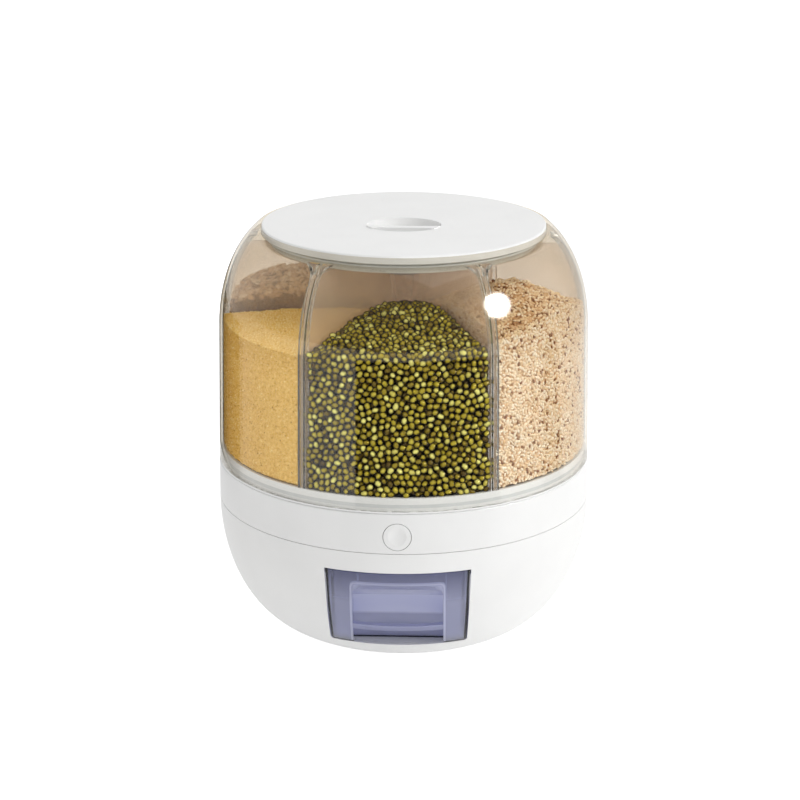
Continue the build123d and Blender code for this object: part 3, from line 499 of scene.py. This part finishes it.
def barrelProfile():
    b = barrel
    rise = (b["rimTop"] - b["shoulder"]) / b["domeRise"]
    topAngle = math.asin(rise)
    outer = [(b["radius"], b["foot"])]
    for i in range(b["domeSteps"] + 1):
        z = b["shoulder"] + b["domeRise"] * math.sin(topAngle * i / b["domeSteps"])
        outer.append((domeRadius(z, 0), z))
    collar = [
        (b["collarRadius"], b["rimTop"]), (b["collarRadius"], b["seat"]), (b["mouth"], b["seat"]),
        (b["mouth"], b["neckBottom"]), (b["mouth"] + b["neckWall"], b["neckBottom"]),
        (b["mouth"] + b["neckWall"], b["ledgeUnder"]),
    ]
    under = (b["ledgeUnder"] - b["shoulder"]) / (b["domeRise"] - b["wall"])
    underAngle = math.asin(under)
    inner = []
    for i in range(b["domeSteps"] + 1):
        z = b["shoulder"] + (b["domeRise"] - b["wall"]) * math.sin(underAngle * (1 - i / b["domeSteps"]))
        inner.append((domeRadius(z, b["wall"]), z))
    inner.append((b["radius"] - b["wall"], b["foot"]))
    return outer + collar + inner


shell = bareObject("barrel_shell", turned("barrel_shell", barrelProfile(), barrel["around"]), clearSan)
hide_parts("clear_barrel")
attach(shell, "barrel")

ribs = {
    "low": 136.4, "inner": 1.3, "outer": 2.9, "depth": 4.5, "edge": 0.35, "steps": 44, "sharp": 50,
    "gussetDrop": 7.4, "gussetReach": 9.5, "count": 6, "first": -60,
    "intoWall": 0.3, "intoLedge": 0.4, "neckGap": 0.2,
}


def ribSection(bm, angle, side):
    # one guide rib: a flat bar that follows the inside of the wall, rounded at its free edge
    r, b = ribs, barrel
    rings = []
    top = b["ledgeUnder"] + r["intoLedge"]
    for i in range(r["steps"] + 1):
        z = r["low"] + (top - r["low"]) * i / r["steps"]
        wall = wallRadius(z, b["wall"] - r["intoWall"])
        spread = max(0.0, 1 - (top - z) / r["gussetDrop"])
        reach = r["outer"] + (r["gussetReach"] - r["outer"]) * spread ** 2
        inner = max(wall - r["depth"], b["mouth"] + b["neckWall"] + r["neckGap"])
        e = r["edge"]
        outline = [
            (wall, r["inner"]), (inner + e, r["inner"]), (inner, r["inner"] + e),
            (inner, reach - e), (inner + e, reach), (wall, reach),
        ]
        ring = []
        for radius, across in outline:
            x, y = radius * mm, side * across * mm
            ring.append(bm.verts.new((
                x * math.cos(angle) - y * math.sin(angle), x * math.sin(angle) + y * math.cos(angle), z * mm
            )))
        rings.append(ring)
    corners = len(outline)
    for lower, upper in zip(rings, rings[1:]):
        for j in range(corners):
            k = (j + 1) % corners
            bm.faces.new((lower[j], lower[k], upper[k], upper[j]))
    bm.faces.new(rings[0])
    bm.faces.new(rings[-1])


def ribPiece():
    bm = bmesh.new()
    for i in range(ribs["count"]):
        angle = math.radians(ribs["first"] + 360 / ribs["count"] * i)
        for side in (-1, 1):
            ribSection(bm, angle, side)
    bmesh.ops.recalc_face_normals(bm, faces=bm.faces)
    mesh = bpy.data.meshes.new("barrel_ribs")
    bm.to_mesh(mesh)
    bm.free()
    mesh.shade_smooth()
    mesh.set_sharp_from_angle(angle=math.radians(ribs["sharp"]))
    piece = bareObject("barrel_ribs", mesh, clearRib)
    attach(piece, "barrel")


ribPiece()
print("barrel made")


# grain: a bed that fills each compartment, and grains all over what shows of it; every bed but the corn meal's is
# painted dark, as painted shade in the gaps between grains

packing = {
    "weld": 0.01, "sideways": 0.7, "top": 0.35, "under": -0.4, "inner": -0.5, "spacing": 1.28, "push": 0.35,
    "topTilt": 1.5, "skin": 0.1, "tones": (0.02, 0.98), "bellyHalf": 0.5, "bellyLine": 0.93,
}


def bedMesh(nodeName, cell):
    mesh = nodes[nodeName].data.copy()
    bm = bmesh.new()
    bm.from_mesh(mesh)
    bmesh.ops.remove_doubles(bm, verts=bm.verts, dist=packing["weld"] * mm)
    bm.to_mesh(mesh)
    bm.free()
    mesh.materials.clear()
    holder = bpy.data.objects.new("holder", mesh)
    bpy.context.scene.collection.objects.link(holder)
    even = holder.modifiers.new("even", "REMESH")
    even.mode = "VOXEL"
    even.voxel_size = cell * mm
    graph = bpy.context.evaluated_depsgraph_get()
    made = bpy.data.meshes.new_from_object(holder.evaluated_get(graph))
    bpy.data.objects.remove(holder)
    bpy.data.meshes.remove(mesh)
    return made


def pointsOf(mesh):
    count = len(mesh.vertices)
    points = np.empty(count * 3)
    normals = np.empty(count * 3)
    mesh.vertices.foreach_get("co", points)
    mesh.vertex_normals.foreach_get("vector", normals)
    return points.reshape(-1, 3), normals.reshape(-1, 3)


def spreadOut(points, gap):
    # keeps points, in random order, that lie at least gap from those already kept
    cells = {}
    kept = []
    keys = np.floor(points / gap).astype(int)
    for i in random.permutation(len(points)):
        x, y, z = keys[i]
        near = [
            j for a in (-1, 0, 1) for b in (-1, 0, 1) for c in (-1, 0, 1)
            for j in cells.get((x + a, y + b, z + c), ())
        ]
        if near:
            apart = points[near] - points[i]
            if (apart * apart).sum(1).min() < gap * gap:
                continue
        cells.setdefault((x, y, z), []).append(i)
        kept.append(i)
    return np.array(kept)


def settle(spots, points, normals, gap, rounds):
    # pushes close neighbours apart along the surface, until they lie packed like cobbles
    surface = kdtree.KDTree(len(points))
    for i, p in enumerate(points):
        surface.insert(p, i)
    surface.balance()
    for _ in range(rounds):
        near = kdtree.KDTree(len(spots))
        for i, p in enumerate(spots):
            near.insert(p, i)
        near.balance()
        moved = spots.copy()
        for i, p in enumerate(spots):
            for q, j, apart in near.find_range(p, gap):
                if j != i and apart > 0:
                    moved[i] += (p - np.array(q)) * packing["push"] * (gap - apart) / apart
        closest = np.array([surface.find(p)[1] for p in moved])
        n = normals[closest]
        spots = moved - n * ((moved - points[closest]) * n).sum(1)[:, None]
    return spots, closest


def ballTemplate(around, rings, power):
    # a rounded grain of radius 1; power below 1 squares its ends, above 1 points them
    verts = [(1.0, 0.0, 0.0)]
    for i in range(1, rings):
        a = math.pi * i / rings
        along = math.cos(a)
        out = math.sin(a) ** power
        for j in range(around):
            t = 2 * math.pi * (j + 0.5 * (i % 2)) / around
            verts.append((along, out * math.cos(t), out * math.sin(t)))
    verts.append((-1.0, 0.0, 0.0))
    faces = []
    for j in range(around):
        faces.append((0, 1 + j, 1 + (j + 1) % around))
    for i in range(rings - 2):
        a, b = 1 + i * around, 1 + (i + 1) * around
        for j in range(around):
            k = (j + 1) % around
            faces.append((a + j, b + j, b + k, a + k))
    last, end = 1 + (rings - 2) * around, len(verts) - 1
    for j in range(around):
        faces.append((end, last + (j + 1) % around, last + j))
    return np.array(verts), faces


def scatteredMesh(name, centres, turns, sizes, template, tones):
    shape, faces = template
    count, each = len(centres), len(shape)
    placed = np.einsum("nij,nvj->nvi", turns, shape[None] * sizes[:, None, :]) + centres[:, None, :]
    corner = np.concatenate([np.array(f) for f in faces])
    length = np.array([len(f) for f in faces])
    loops = (corner[None] + (np.arange(count) * each)[:, None]).ravel()
    lengths = np.tile(length, count)
    starts = np.concatenate([[0], np.cumsum(lengths)[:-1]])
    mesh = bpy.data.meshes.new(name)
    mesh.vertices.add(count * each)
    mesh.vertices.foreach_set("co", placed.ravel())
    mesh.loops.add(len(loops))
    mesh.loops.foreach_set("vertex_index", loops)
    mesh.polygons.add(len(lengths))
    mesh.polygons.foreach_set("loop_start", starts)
    mesh.update(calc_edges=True)
    mesh.validate()
    mesh.attributes.new("tone", "FLOAT", "POINT").data.foreach_set("value", np.repeat(tones, each))
    belly = (np.abs(shape[:, 0]) < packing["bellyHalf"]) * (shape[:, 1] > packing["bellyLine"])
    marks = np.tile(belly * 1.0, count)
    mesh.attributes.new("mark", "FLOAT", "POINT").data.foreach_set("value", marks)
    mesh.shade_smooth()
    return mesh


def outwardOf(direction):
    # unit vector from the turning axis out through the middle of a compartment
    a = math.radians(direction - 90)
    return np.array([math.cos(a), math.sin(a), 0.0])


def fillCompartment(look):
    name = look["name"]
    mesh = bedMesh(name + "_fill", look["cell"])
    points, normals = pointsOf(mesh)
    outward = outwardOf(look["direction"])
    sideways = np.abs(normals @ np.cross(outward, (0, 0, 1))) > packing["sideways"]
    top = normals[:, 2] > packing["top"]
    under = normals[:, 2] < packing["under"]
    inner = normals @ outward < packing["inner"]
    # low side faces lie against the neighbour's grain, and never show
    hidden = under | inner | (sideways & (points[:, 2] < look["sideLow"] * mm))
    wobble = np.array([noise.noise(Vector(p) * perMetre(look["lump"])) for p in points])
    grit = np.array([noise.noise(Vector(p) * perMetre(look["grit"])) for p in points])
    raised = np.where(top, wobble * look["lumpHeight"], 0.0) * mm
    bedPoints = points + normals * (raised + (grit * look["gritHeight"] - look["inset"]) * mm)[:, None]
    mesh.vertices.foreach_set("co", bedPoints.ravel())
    # painted light and shade: upward faces take the compartment's top shading, lighter for the corn meal and darker
    # for the brown rice
    tones = 0.5 + 0.5 * grit + look["paintedTopShading"] * top
    mesh.attributes.new("tone", "FLOAT", "POINT").data.foreach_set("value", tones)
    mesh.attributes.new("mark", "FLOAT", "POINT").data.foreach_set("value", np.zeros(len(points)))
    mesh.update()
    mesh.shade_smooth()
    bed = bareObject(name + "_bed", mesh, look["bedFinish"])
    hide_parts(name + "_fill")
    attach(bed, "barrel")
    template = ballTemplate(*look["shape"])
    centres, turns, sizes, toneSets = [], [], [], []
    for layer in look["layers"]:
        shown = np.flatnonzero(~hidden)
        spots = points[shown] + random.uniform(-0.5, 0.5, (len(shown), 3)) * look["cell"] * mm
        kept = spreadOut(spots, layer["gap"] * mm)
        # spacing after settling is wider than the gap that the first spread kept
        spacing = layer["gap"] * packing["spacing"] * mm
        base, closest = settle(spots[kept], points[shown], normals[shown], spacing, layer["settle"])
        n = normals[shown][closest]
        onTop = top[shown][closest]
        lift = raised[shown][closest]
        count = len(base)
        anyWay = random.normal(size=(count, 3))
        t = np.cross(n, anyWay)
        t /= np.linalg.norm(t, axis=1)[:, None]
        u = np.cross(n, t)
        steeper = np.where(onTop, packing["topTilt"], 1.0)
        tilt = random.uniform(-1, 1, count) * np.radians(layer["tilt"]) * steeper
        a = t * np.cos(tilt)[:, None] + n * np.sin(tilt)[:, None]
        w = -t * np.sin(tilt)[:, None] + n * np.cos(tilt)[:, None]
        roll = random.uniform(0, 2 * math.pi, count) * layer["roll"]
        b = u * np.cos(roll)[:, None] + w * np.sin(roll)[:, None]
        c = np.cross(a, b)
        turn = np.stack([a, b, c], 2)
        size = np.array(look["size"]) * mm * random.uniform(1 - look["vary"], 1 + look["vary"], (count, 1))
        size = size * random.uniform(1 - look["vary"] / 2, 1 + look["vary"] / 2, (count, 3))
        reach = np.sqrt(sum((size[:, i] * (turn[:, :, i] * n).sum(1)) ** 2 for i in range(3)))
        loose = np.where(onTop, random.uniform(-1, 1, count) * layer["loose"] * mm, 0.0)
        depth = reach + (layer["depth"] + packing["skin"]) * mm
        centres.append(base + n * (lift + loose - depth)[:, None])
        turns.append(turn)
        sizes.append(size)
        # painted light and shade: grains on the top take the same top shading
        tone = random.normal(layer["tone"], look["toneSpread"], count) + look["paintedTopShading"] * onTop
        tone = np.where(random.random(count) < look.get("specks", 0.0), 0.0, tone)
        toneSets.append(np.clip(tone, *packing["tones"]))
    grains = scatteredMesh(
        name + "_grains", np.concatenate(centres), np.concatenate(turns), np.concatenate(sizes), template,
        np.concatenate(toneSets),
    )
    piece = bareObject(name + "_grains", grains, look["grainFinish"])
    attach(piece, "barrel")
    print(name, len(grains.polygons), "grain faces,", len(mesh.polygons), "bed faces")


mungBeans = {
    "name": "mung_bean", "direction": 0, "cell": 1.2, "sideLow": 215, "lump": 14, "lumpHeight": 1.0,
    "grit": 3, "gritHeight": 0.4, "inset": 4.4, "shape": (8, 6, 0.85), "size": (2.7, 2.25, 2.2), "vary": 0.1,
    "toneSpread": 0.22, "paintedTopShading": 0.0,
    "layers": [
        {"gap": 3.6, "tilt": 60, "roll": 1.0, "loose": 1.0, "depth": 0.0, "tone": 0.6, "settle": 10},
        # painted shade: the lower layer's beans are dark, for the shade between the beans on top
        {"gap": 3.9, "tilt": 60, "roll": 1.0, "loose": 0.5, "depth": 2.4, "tone": 0.05, "settle": 2},
    ],
    "grainFinish": grainFinish("mungBeanSkin", {
        "colours": ("#503C04", "#8A760A", "#B2A024", "#E4DE7C"), "mark": "#D6D08E", "spots": 1.2, "spotShare": 0.2,
        "bump": 0.1, "roughness": (0.3, 0.45), "rim": "#120800", "rimShare": 1.0, "rimFrom": 0.06, "rimTo": 0.56,
        "sheen": 0.35,
    }),
    # painted shade: the bed under the beans is near black, for the gaps between them
    "bedFinish": grainFinish("mungBeanPaintedShade", {
        "colours": ("#080400", "#0E0800", "#160E02"), "mark": "#120B02", "spots": 3, "spotShare": 0.3,
        "bump": 0.3, "roughness": (0.8, 0.95), "rim": "#080400", "rimShare": 0.3, "rimFrom": 0.3, "rimTo": 0.9,
        "sheen": 0.0,
    }),
}
cornMeal = {
    "name": "corn_meal", "direction": -60, "cell": 1.1, "sideLow": 205, "lump": 18, "lumpHeight": 0.8,
    "grit": 1.6, "gritHeight": 0.35, "inset": 0.75, "shape": (4, 3, 1.0), "size": (0.6, 0.5, 0.4), "vary": 0.3,
    # painted light: the corn meal's top is lighter than its sides
    "toneSpread": 0.2, "paintedTopShading": 0.3, "specks": 0.02,
    "layers": [{"gap": 1.6, "tilt": 90, "roll": 1.0, "loose": 0.2, "depth": 0.0, "tone": 0.55, "settle": 1}],
    "grainFinish": grainFinish("cornMealGrit", {
        "colours": ("#AC7C18", "#DCAE48", "#EEC86C", "#FBE6A4"), "mark": "#EBBD62", "spots": 1.0, "spotShare": 0.3,
        "bump": 0.2, "roughness": (0.6, 0.8), "rim": "#CC8C1C", "rimShare": 0.4, "rimFrom": 0.3, "rimTo": 0.9,
    }),
    "bedFinish": grainFinish("cornMealPowder", {
        "colours": ("#B48222", "#DAAC4C", "#E8C068", "#F4D48C"), "mark": "#E6B95E", "spots": 1.5, "spotShare": 0.5,
        "bump": 0.3, "roughness": (0.75, 0.9), "rim": "#CC8C1C", "rimShare": 0.2, "rimFrom": 0.3, "rimTo": 0.9,
    }),
}
brownRice = {
    "name": "brown_rice", "direction": 60, "cell": 1.1, "sideLow": 215, "lump": 9, "lumpHeight": 2.4,
    "grit": 2.5, "gritHeight": 0.3, "inset": 1.3, "shape": (5, 4, 0.9), "size": (1.65, 1.05, 0.95), "vary": 0.25,
    # painted shade: the brown rice's top is darker than its sides
    "toneSpread": 0.14, "paintedTopShading": -0.18, "specks": 0.07,
    "layers": [{"gap": 1.85, "tilt": 30, "roll": 1.0, "loose": 0.5, "depth": 0.0, "tone": 0.8, "settle": 1}],
    "grainFinish": grainFinish("brownRiceHusked", {
        "colours": ("#7E4A22", "#DDB27A", "#F6DEB8", "#FFF4DE"), "mark": "#E2BE8C", "spots": 1.5, "spotShare": 0.3,
        "bump": 0.15, "roughness": (0.45, 0.65), "rim": "#C99A68", "rimShare": 0.5, "rimFrom": 0.3, "rimTo": 0.9,
    }),
    # painted shade: the bed is darker than the rice, for the gaps between grains
    "bedFinish": grainFinish("brownRicePaintedShade", {
        "colours": ("#5A2E0E", "#B88A5A", "#E6C49A", "#F0D4AE"), "mark": "#8A5426", "spots": 2.0, "spotShare": 0.8,
        "bump": 0.3, "roughness": (0.8, 0.95), "rim": "#8A5426", "rimShare": 0.2, "rimFrom": 0.3, "rimTo": 0.9,
    }),
}
rolledOats = {
    "name": "rolled_oat", "direction": -120, "cell": 1.3, "sideLow": 215, "lump": 12, "lumpHeight": 3.6,
    "grit": 4, "gritHeight": 0.6, "inset": 2.0, "shape": (8, 5, 0.7), "size": (3.0, 2.4, 0.9), "vary": 0.25,
    "toneSpread": 0.25, "paintedTopShading": 0.0,
    "layers": [
        {"gap": 3.3, "tilt": 40, "roll": 0.15, "loose": 1.2, "depth": 0.0, "tone": 0.6, "settle": 1},
        # painted shade: the lower layer of flakes is darker, for the shade under the flakes on top
        {"gap": 3.6, "tilt": 40, "roll": 0.15, "loose": 0.4, "depth": 1.4, "tone": 0.3, "settle": 1},
    ],
    "grainFinish": grainFinish("oatFlakeRolled", {
        "colours": ("#8A5A30", "#CCA47A", "#E6CAA6", "#F6E6CA"), "mark": "#D2AF82", "spots": 1.0, "spotShare": 0.5,
        "bump": 0.4, "roughness": (0.6, 0.85), "rim": "#7A4A22", "rimShare": 0.6, "rimFrom": 0.3, "rimTo": 0.9,
    }),
    # painted shade: the bed is dark brown, for the gaps between flakes
    "bedFinish": grainFinish("oatFlakePaintedShade", {
        "colours": ("#341A08", "#5E3818", "#8A5A30"), "mark": "#6E4420", "spots": 3, "spotShare": 0.5,
        "bump": 0.4, "roughness": (0.8, 0.95), "rim": "#341A08", "rimShare": 0.3, "rimFrom": 0.3, "rimTo": 0.9,
    }),
}
redRice = {
    "name": "red_rice", "direction": 180, "cell": 1.2, "sideLow": 215, "lump": 20, "lumpHeight": 1.5,
    "grit": 3, "gritHeight": 0.3, "inset": 1.6, "shape": (6, 5, 0.9), "size": (2.9, 1.15, 1.0), "vary": 0.15,
    "toneSpread": 0.25, "paintedTopShading": 0.0,
    "layers": [{"gap": 2.5, "tilt": 30, "roll": 1.0, "loose": 0.8, "depth": 0.0, "tone": 0.55, "settle": 1}],
    "grainFinish": grainFinish("redRiceHusked", {
        "colours": ("#9C5C48", "#C48C74", "#DAAA92", "#ECC8B2"), "mark": "#CC9680", "spots": 1.5, "spotShare": 0.3,
        "bump": 0.15, "roughness": (0.45, 0.65), "rim": "#84483A", "rimShare": 0.5, "rimFrom": 0.3, "rimTo": 0.9,
    }),
    # painted shade: the bed is dark red-brown, for the gaps between grains
    "bedFinish": grainFinish("redRicePaintedShade", {
        "colours": ("#4A2016", "#74402E", "#98604C"), "mark": "#74402E", "spots": 3, "spotShare": 0.4,
        "bump": 0.3, "roughness": (0.8, 0.95), "rim": "#2C100A", "rimShare": 0.3, "rimFrom": 0.3, "rimTo": 0.9,
    }),
}
pearlBarley = {
    "name": "barley", "direction": 120, "cell": 1.2, "sideLow": 205, "lump": 16, "lumpHeight": 1.5,
    "grit": 3, "gritHeight": 0.3, "inset": 2.2, "shape": (6, 6, 0.9), "size": (2.3, 1.65, 1.45), "vary": 0.15,
    "toneSpread": 0.22, "paintedTopShading": 0.0,
    "layers": [{"gap": 2.75, "tilt": 50, "roll": 1.0, "loose": 0.8, "depth": 0.0, "tone": 0.6, "settle": 1}],
    "grainFinish": grainFinish("barleyPearled", {
        "colours": ("#AD8450", "#D4B585", "#E3CBA2", "#F0E0C2"), "mark": "#8F6A40", "spots": 1.5, "spotShare": 0.3,
        "bump": 0.15, "roughness": (0.45, 0.65), "rim": "#8F6A40", "rimShare": 0.5, "rimFrom": 0.3, "rimTo": 0.9,
    }),
    # painted shade: the bed is dark brown, for the gaps between grains
    "bedFinish": grainFinish("barleyPaintedShade", {
        "colours": ("#3B2410", "#6A4824", "#8F6A40"), "mark": "#6A4824", "spots": 3, "spotShare": 0.4,
        "bump": 0.3, "roughness": (0.8, 0.95), "rim": "#3B2410", "rimShare": 0.3, "rimFrom": 0.3, "rimTo": 0.9,
    }),
}
for look in (mungBeans, cornMeal, brownRice, rolledOats, redRice, pearlBarley):
    fillCompartment(look)


# finishes of the other moulded and metal pieces

finishes = {
    whiteAbs: ["lower_bowl", "upper_housing", "bottom_cover", "cup_bay", "outlet_chute", "floor_tray", "lid_cap",
               "button_cap"],
    naturalAcetal: ["barrel_bush", "glide_ring", "gate_rails", "gate_plate", "button_sleeve"],
    whiteSilicone: ["tray_seal", "lid_seal", "outlet_gasket"],
    greyRubber: ["rubber_feet"],
    zincSteel: ["bottom_cover_screws", "housing_screws", "cup_bay_screws", "chute_screws", "gate_rail_screws",
                "button_screw", "hub_screws"],
    turnedSteel: ["spindle", "spindle_washer", "spindle_nut"],
    dividerSan: ["divider_insert"],
    hubShadeSan: ["hub_cap"],
    tintedSan: ["measuring_cup"],
}
for material, names in finishes.items():
    for name in names:
        mesh = nodes[name].data
        mesh.materials.clear()
        mesh.materials.append(material)
print("finishes set")


# gate springs, which shorten as the button goes in: a copy with its own mesh, on the base

springMesh = nodes["gate_springs"].data.copy()
coils = bareObject("gate_spring_coils", springMesh, zincSteel)
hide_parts("gate_springs")
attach(coils, "base")
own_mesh(coils)


# studio: pale floor, white surround, a round key lamp on the right, soft fill lamps and reflector cards

studio = {
    "camera": {"away": 1605, "aim": (-2.7, 0, 163.4), "up": 17.74, "right": 2.0, "lens": 100.3},
    "key": {"at": (1304, -644, 775), "aim": (0, 0, 180), "radius": 290, "power": 7.2, "face": 50, "before": 0.995},
    "top": {"at": (300, -200, 1500), "aim": (0, 0, 150), "size": 1200, "power": 3.9},
    "front": {"at": (-250, -1500, 520), "aim": (0, 0, 120), "size": 800, "power": 0.6},
    "inside": {"at": (-250, -950, 1150), "aim": (0, 0, 210), "size": 700, "power": 6.3},
    "cards": [
        {"from": -102.9, "to": -22.6, "radius": 400, "low": 20, "high": 230, "glow": 1.2},
        {"from": 53.1, "to": 83.2, "radius": 400, "low": 20, "high": 230, "glow": 1.1},
    ],
    "flag": {"inner": 440, "outer": 1700, "height": 1, "from": -172, "to": 105},
    "surround": 0.59,
    "mirrored": {"front": 0.15, "back": 1.0, "turn": (-0.1, 0.4)},
    "floorGlow": {"seen": 0.8, "diffuse": 0.14, "mirrored": 0.4},
}


def aim(thing, at, target):
    thing.location = Vector(at) * mm
    thing.rotation_euler = (Vector(target) * mm - thing.location).to_track_quat("-Z", "Y").to_euler()


def addCamera(look):
    data = bpy.data.cameras.new("photoCamera")
    data.lens = look["lens"]
    data.sensor_width = 36
    camera = bpy.data.objects.new("photoCamera", data)
    bpy.context.scene.collection.objects.link(camera)
    up, right = math.radians(look["up"]), math.radians(look["right"])
    back = Vector((math.sin(right) * math.cos(up), -math.cos(right) * math.cos(up), math.sin(up)))
    aim(camera, Vector(look["aim"]) + back * look["away"], look["aim"])
    bpy.context.scene.camera = camera


def addLamp(name, look):
    data = bpy.data.lights.new(name, "AREA")
    data.shape = "DISK" if "radius" in look else "SQUARE"
    data.size = look.get("size", 2 * look.get("radius", 0)) * mm
    data.energy = look["power"]
    lamp = bpy.data.objects.new(name, data)
    bpy.context.scene.collection.objects.link(lamp)
    aim(lamp, look["at"], look["aim"])
    return lamp


def linkInside(lamp):
    # this lamp lights the grain and dividers alone, and no wall or lid is in its way
    inside = bpy.data.collections.new("insideLit")
    for piece in bpy.context.scene.objects:
        if piece.name.endswith(("_grains", "_bed")):
            inside.objects.link(piece)
    for name in ("divider_insert", "hub_cap"):
        inside.objects.link(nodes[name])
    lamp.light_linking.receiver_collection = inside
    lamp.light_linking.blocker_collection = inside


def glowFinish(name, strength, radius=0):
    # with a radius, the glow fades out towards the rim
    material, tree = emptyMaterial(name)
    glow = addNode(tree, "ShaderNodeEmission", {"Color": (1, 1, 1, 1), "Strength": strength})
    if radius:
        place = addNode(tree, "ShaderNodeTexCoord").outputs["Object"]
        out = addNode(tree, "ShaderNodeVectorMath", {"operation": "LENGTH"}, {0: place}).outputs["Value"]
        fade = addNode(
            tree, "ShaderNodeMapRange",
            {"interpolation_type": "SMOOTHERSTEP", "From Min": 0.5 * radius * mm, "From Max": radius * mm,
             "To Min": strength, "To Max": 0.0},
            {"Value": out},
        )
        tree.links.new(fade.outputs["Result"], glow.inputs["Strength"])
    addNode(tree, "ShaderNodeOutputMaterial", None, {"Surface": glow.outputs["Emission"]})
    return material


def addCard(name, look):
    # an upright curved card, seen only in gloss; angles run from the front, plus to the right
    steps = 24
    verts, faces = [], []
    for i in range(steps + 1):
        a = math.radians(look["from"] + (look["to"] - look["from"]) * i / steps)
        x, y = look["radius"] * math.sin(a) * mm, -look["radius"] * math.cos(a) * mm
        verts += [(x, y, look["low"] * mm), (x, y, look["high"] * mm)]
    for i in range(steps):
        faces.append((2 * i, 2 * i + 2, 2 * i + 3, 2 * i + 1))
    mesh = bpy.data.meshes.new(name)
    mesh.from_pydata(verts, [], faces)
    card = bareObject(name, mesh, glowFinish(name, look["glow"]))
    glossOnly(card)


def glossOnly(card):
    card.visible_camera = False
    card.visible_diffuse = False
    card.visible_transmission = False
    card.visible_shadow = False


def addFlag(look):
    # a black sheet in front of the set, that keeps the floor's glare off the clear wall
    steps = 36
    verts, faces = [], []
    for i in range(steps + 1):
        a = math.radians(look["from"] + (look["to"] - look["from"]) * i / steps)
        for radius in (look["inner"], look["outer"]):
            verts.append((radius * math.sin(a) * mm, -radius * math.cos(a) * mm, look["height"] * mm))
    for i in range(steps):
        faces.append((2 * i, 2 * i + 1, 2 * i + 3, 2 * i + 2))
    mesh = bpy.data.meshes.new("blackFlag")
    mesh.from_pydata(verts, [], faces)
    glossOnly(bareObject("blackFlag", mesh, glowFinish("blackFlagCloth", 0.0)))


def addLampFace(look):
    # the bright front of the key lamp, as gloss shows it
    steps = 32
    bm = bmesh.new()
    ring = [bm.verts.new((
        look["radius"] * math.cos(2 * math.pi * i / steps) * mm,
        look["radius"] * math.sin(2 * math.pi * i / steps) * mm, 0
    )) for i in range(steps)]
    bm.faces.new(ring)
    mesh = bpy.data.meshes.new("keyLampFace")
    bm.to_mesh(mesh)
    bm.free()
    face = bareObject("keyLampFace", mesh, glowFinish("keyLampGlow", look["face"], look["radius"]))
    aim(face, Vector(look["at"]) * look["before"], look["aim"])
    glossOnly(face)


def addFloor():
    half = 6.0
    mesh = bpy.data.meshes.new("floor")
    mesh.from_pydata([(-half, -half, 0), (half, -half, 0), (half, half, 0), (-half, half, 0)], [], [(0, 1, 2, 3)])
    material, tree = emptyMaterial("paleFloor")
    place = addNode(tree, "ShaderNodeTexCoord").outputs["Object"]
    grain = addNode(tree, "ShaderNodeTexNoise", {"Scale": perMetre(300)}, {"Vector": place})
    colour = addNode(
        tree, "ShaderNodeValToRGB", {"stops": [(0.3, linear("#ECECEC")), (0.7, linear("#F0F0F0"))]},
        {"Fac": grain.outputs["Fac"]},
    )
    matt = addNode(tree, "ShaderNodeBsdfDiffuse", None, {"Color": colour.outputs["Color"]})
    # a lit table: white to the eye, and with its own light for what stands on it
    path = addNode(tree, "ShaderNodeLightPath")
    seen = addNode(
        tree, "ShaderNodeMath", {"operation": "MAXIMUM"},
        {0: path.outputs["Is Camera Ray"], 1: path.outputs["Is Transmission Ray"]},
    )
    glows = studio["floorGlow"]
    under = addNode(
        tree, "ShaderNodeMix", {"data_type": "FLOAT", 2: glows["diffuse"], 3: glows["mirrored"]},
        {0: path.outputs["Is Glossy Ray"]},
    )
    strength = addNode(
        tree, "ShaderNodeMix", {"data_type": "FLOAT", 3: glows["seen"]}, {0: seen.outputs[0], 2: under.outputs[0]}
    )
    glow = addNode(tree, "ShaderNodeEmission", {"Color": (1, 1, 1, 1)}, {"Strength": strength.outputs[0]})
    surface = addNode(tree, "ShaderNodeAddShader", None, {0: matt.outputs["BSDF"], 1: glow.outputs["Emission"]})
    addNode(tree, "ShaderNodeOutputMaterial", None, {"Surface": surface.outputs["Shader"]})
    bareObject("floor", mesh, material)


def setSurround():
    world = bpy.data.worlds.new("studioSurround")
    world.use_nodes = True
    tree = world.node_tree
    tree.nodes.clear()
    path = addNode(tree, "ShaderNodeLightPath")
    seen = addNode(
        tree, "ShaderNodeMath", {"operation": "MAXIMUM"},
        {0: path.outputs["Is Camera Ray"], 1: path.outputs["Is Transmission Ray"]},
    )
    # gloss sees the white backdrop behind the set and a dimmer room in front
    way = addNode(tree, "ShaderNodeTexCoord").outputs["Generated"]
    parts = addNode(tree, "ShaderNodeSeparateXYZ", None, {"Vector": way})
    room = studio["mirrored"]
    mirrored = addNode(
        tree, "ShaderNodeMapRange",
        {"From Min": room["turn"][0], "From Max": room["turn"][1], "To Min": room["front"], "To Max": room["back"]},
        {"Value": parts.outputs["Y"]},
    )
    plain = addNode(
        tree, "ShaderNodeMix", {"data_type": "FLOAT", 2: studio["surround"]},
        {0: path.outputs["Is Glossy Ray"], 3: mirrored.outputs["Result"]},
    )
    strength = addNode(
        tree, "ShaderNodeMix", {"data_type": "FLOAT", 3: 1.0}, {0: seen.outputs[0], 2: plain.outputs[0]}
    )
    ground = addNode(tree, "ShaderNodeBackground", {"Color": (1, 1, 1, 1)}, {"Strength": strength.outputs[0]})
    addNode(tree, "ShaderNodeOutputWorld", None, {"Surface": ground.outputs["Background"]})
    bpy.context.scene.world = world


addCamera(studio["camera"])
addLamp("keyLamp", studio["key"])
addLamp("topLamp", studio["top"])
addLamp("frontLamp", studio["front"]).visible_glossy = False
linkInside(addLamp("insideLamp", studio["inside"]))
addLampFace(studio["key"])
for i, look in enumerate(studio["cards"]):
    addCard(f"reflectorCard{i + 1}", look)
addFlag(studio["flag"])
addFloor()
setSurround()
bpy.context.scene.cycles.transparent_max_bounces = 24
bpy.context.scene.view_settings.view_transform = "Standard"
print("studio set")
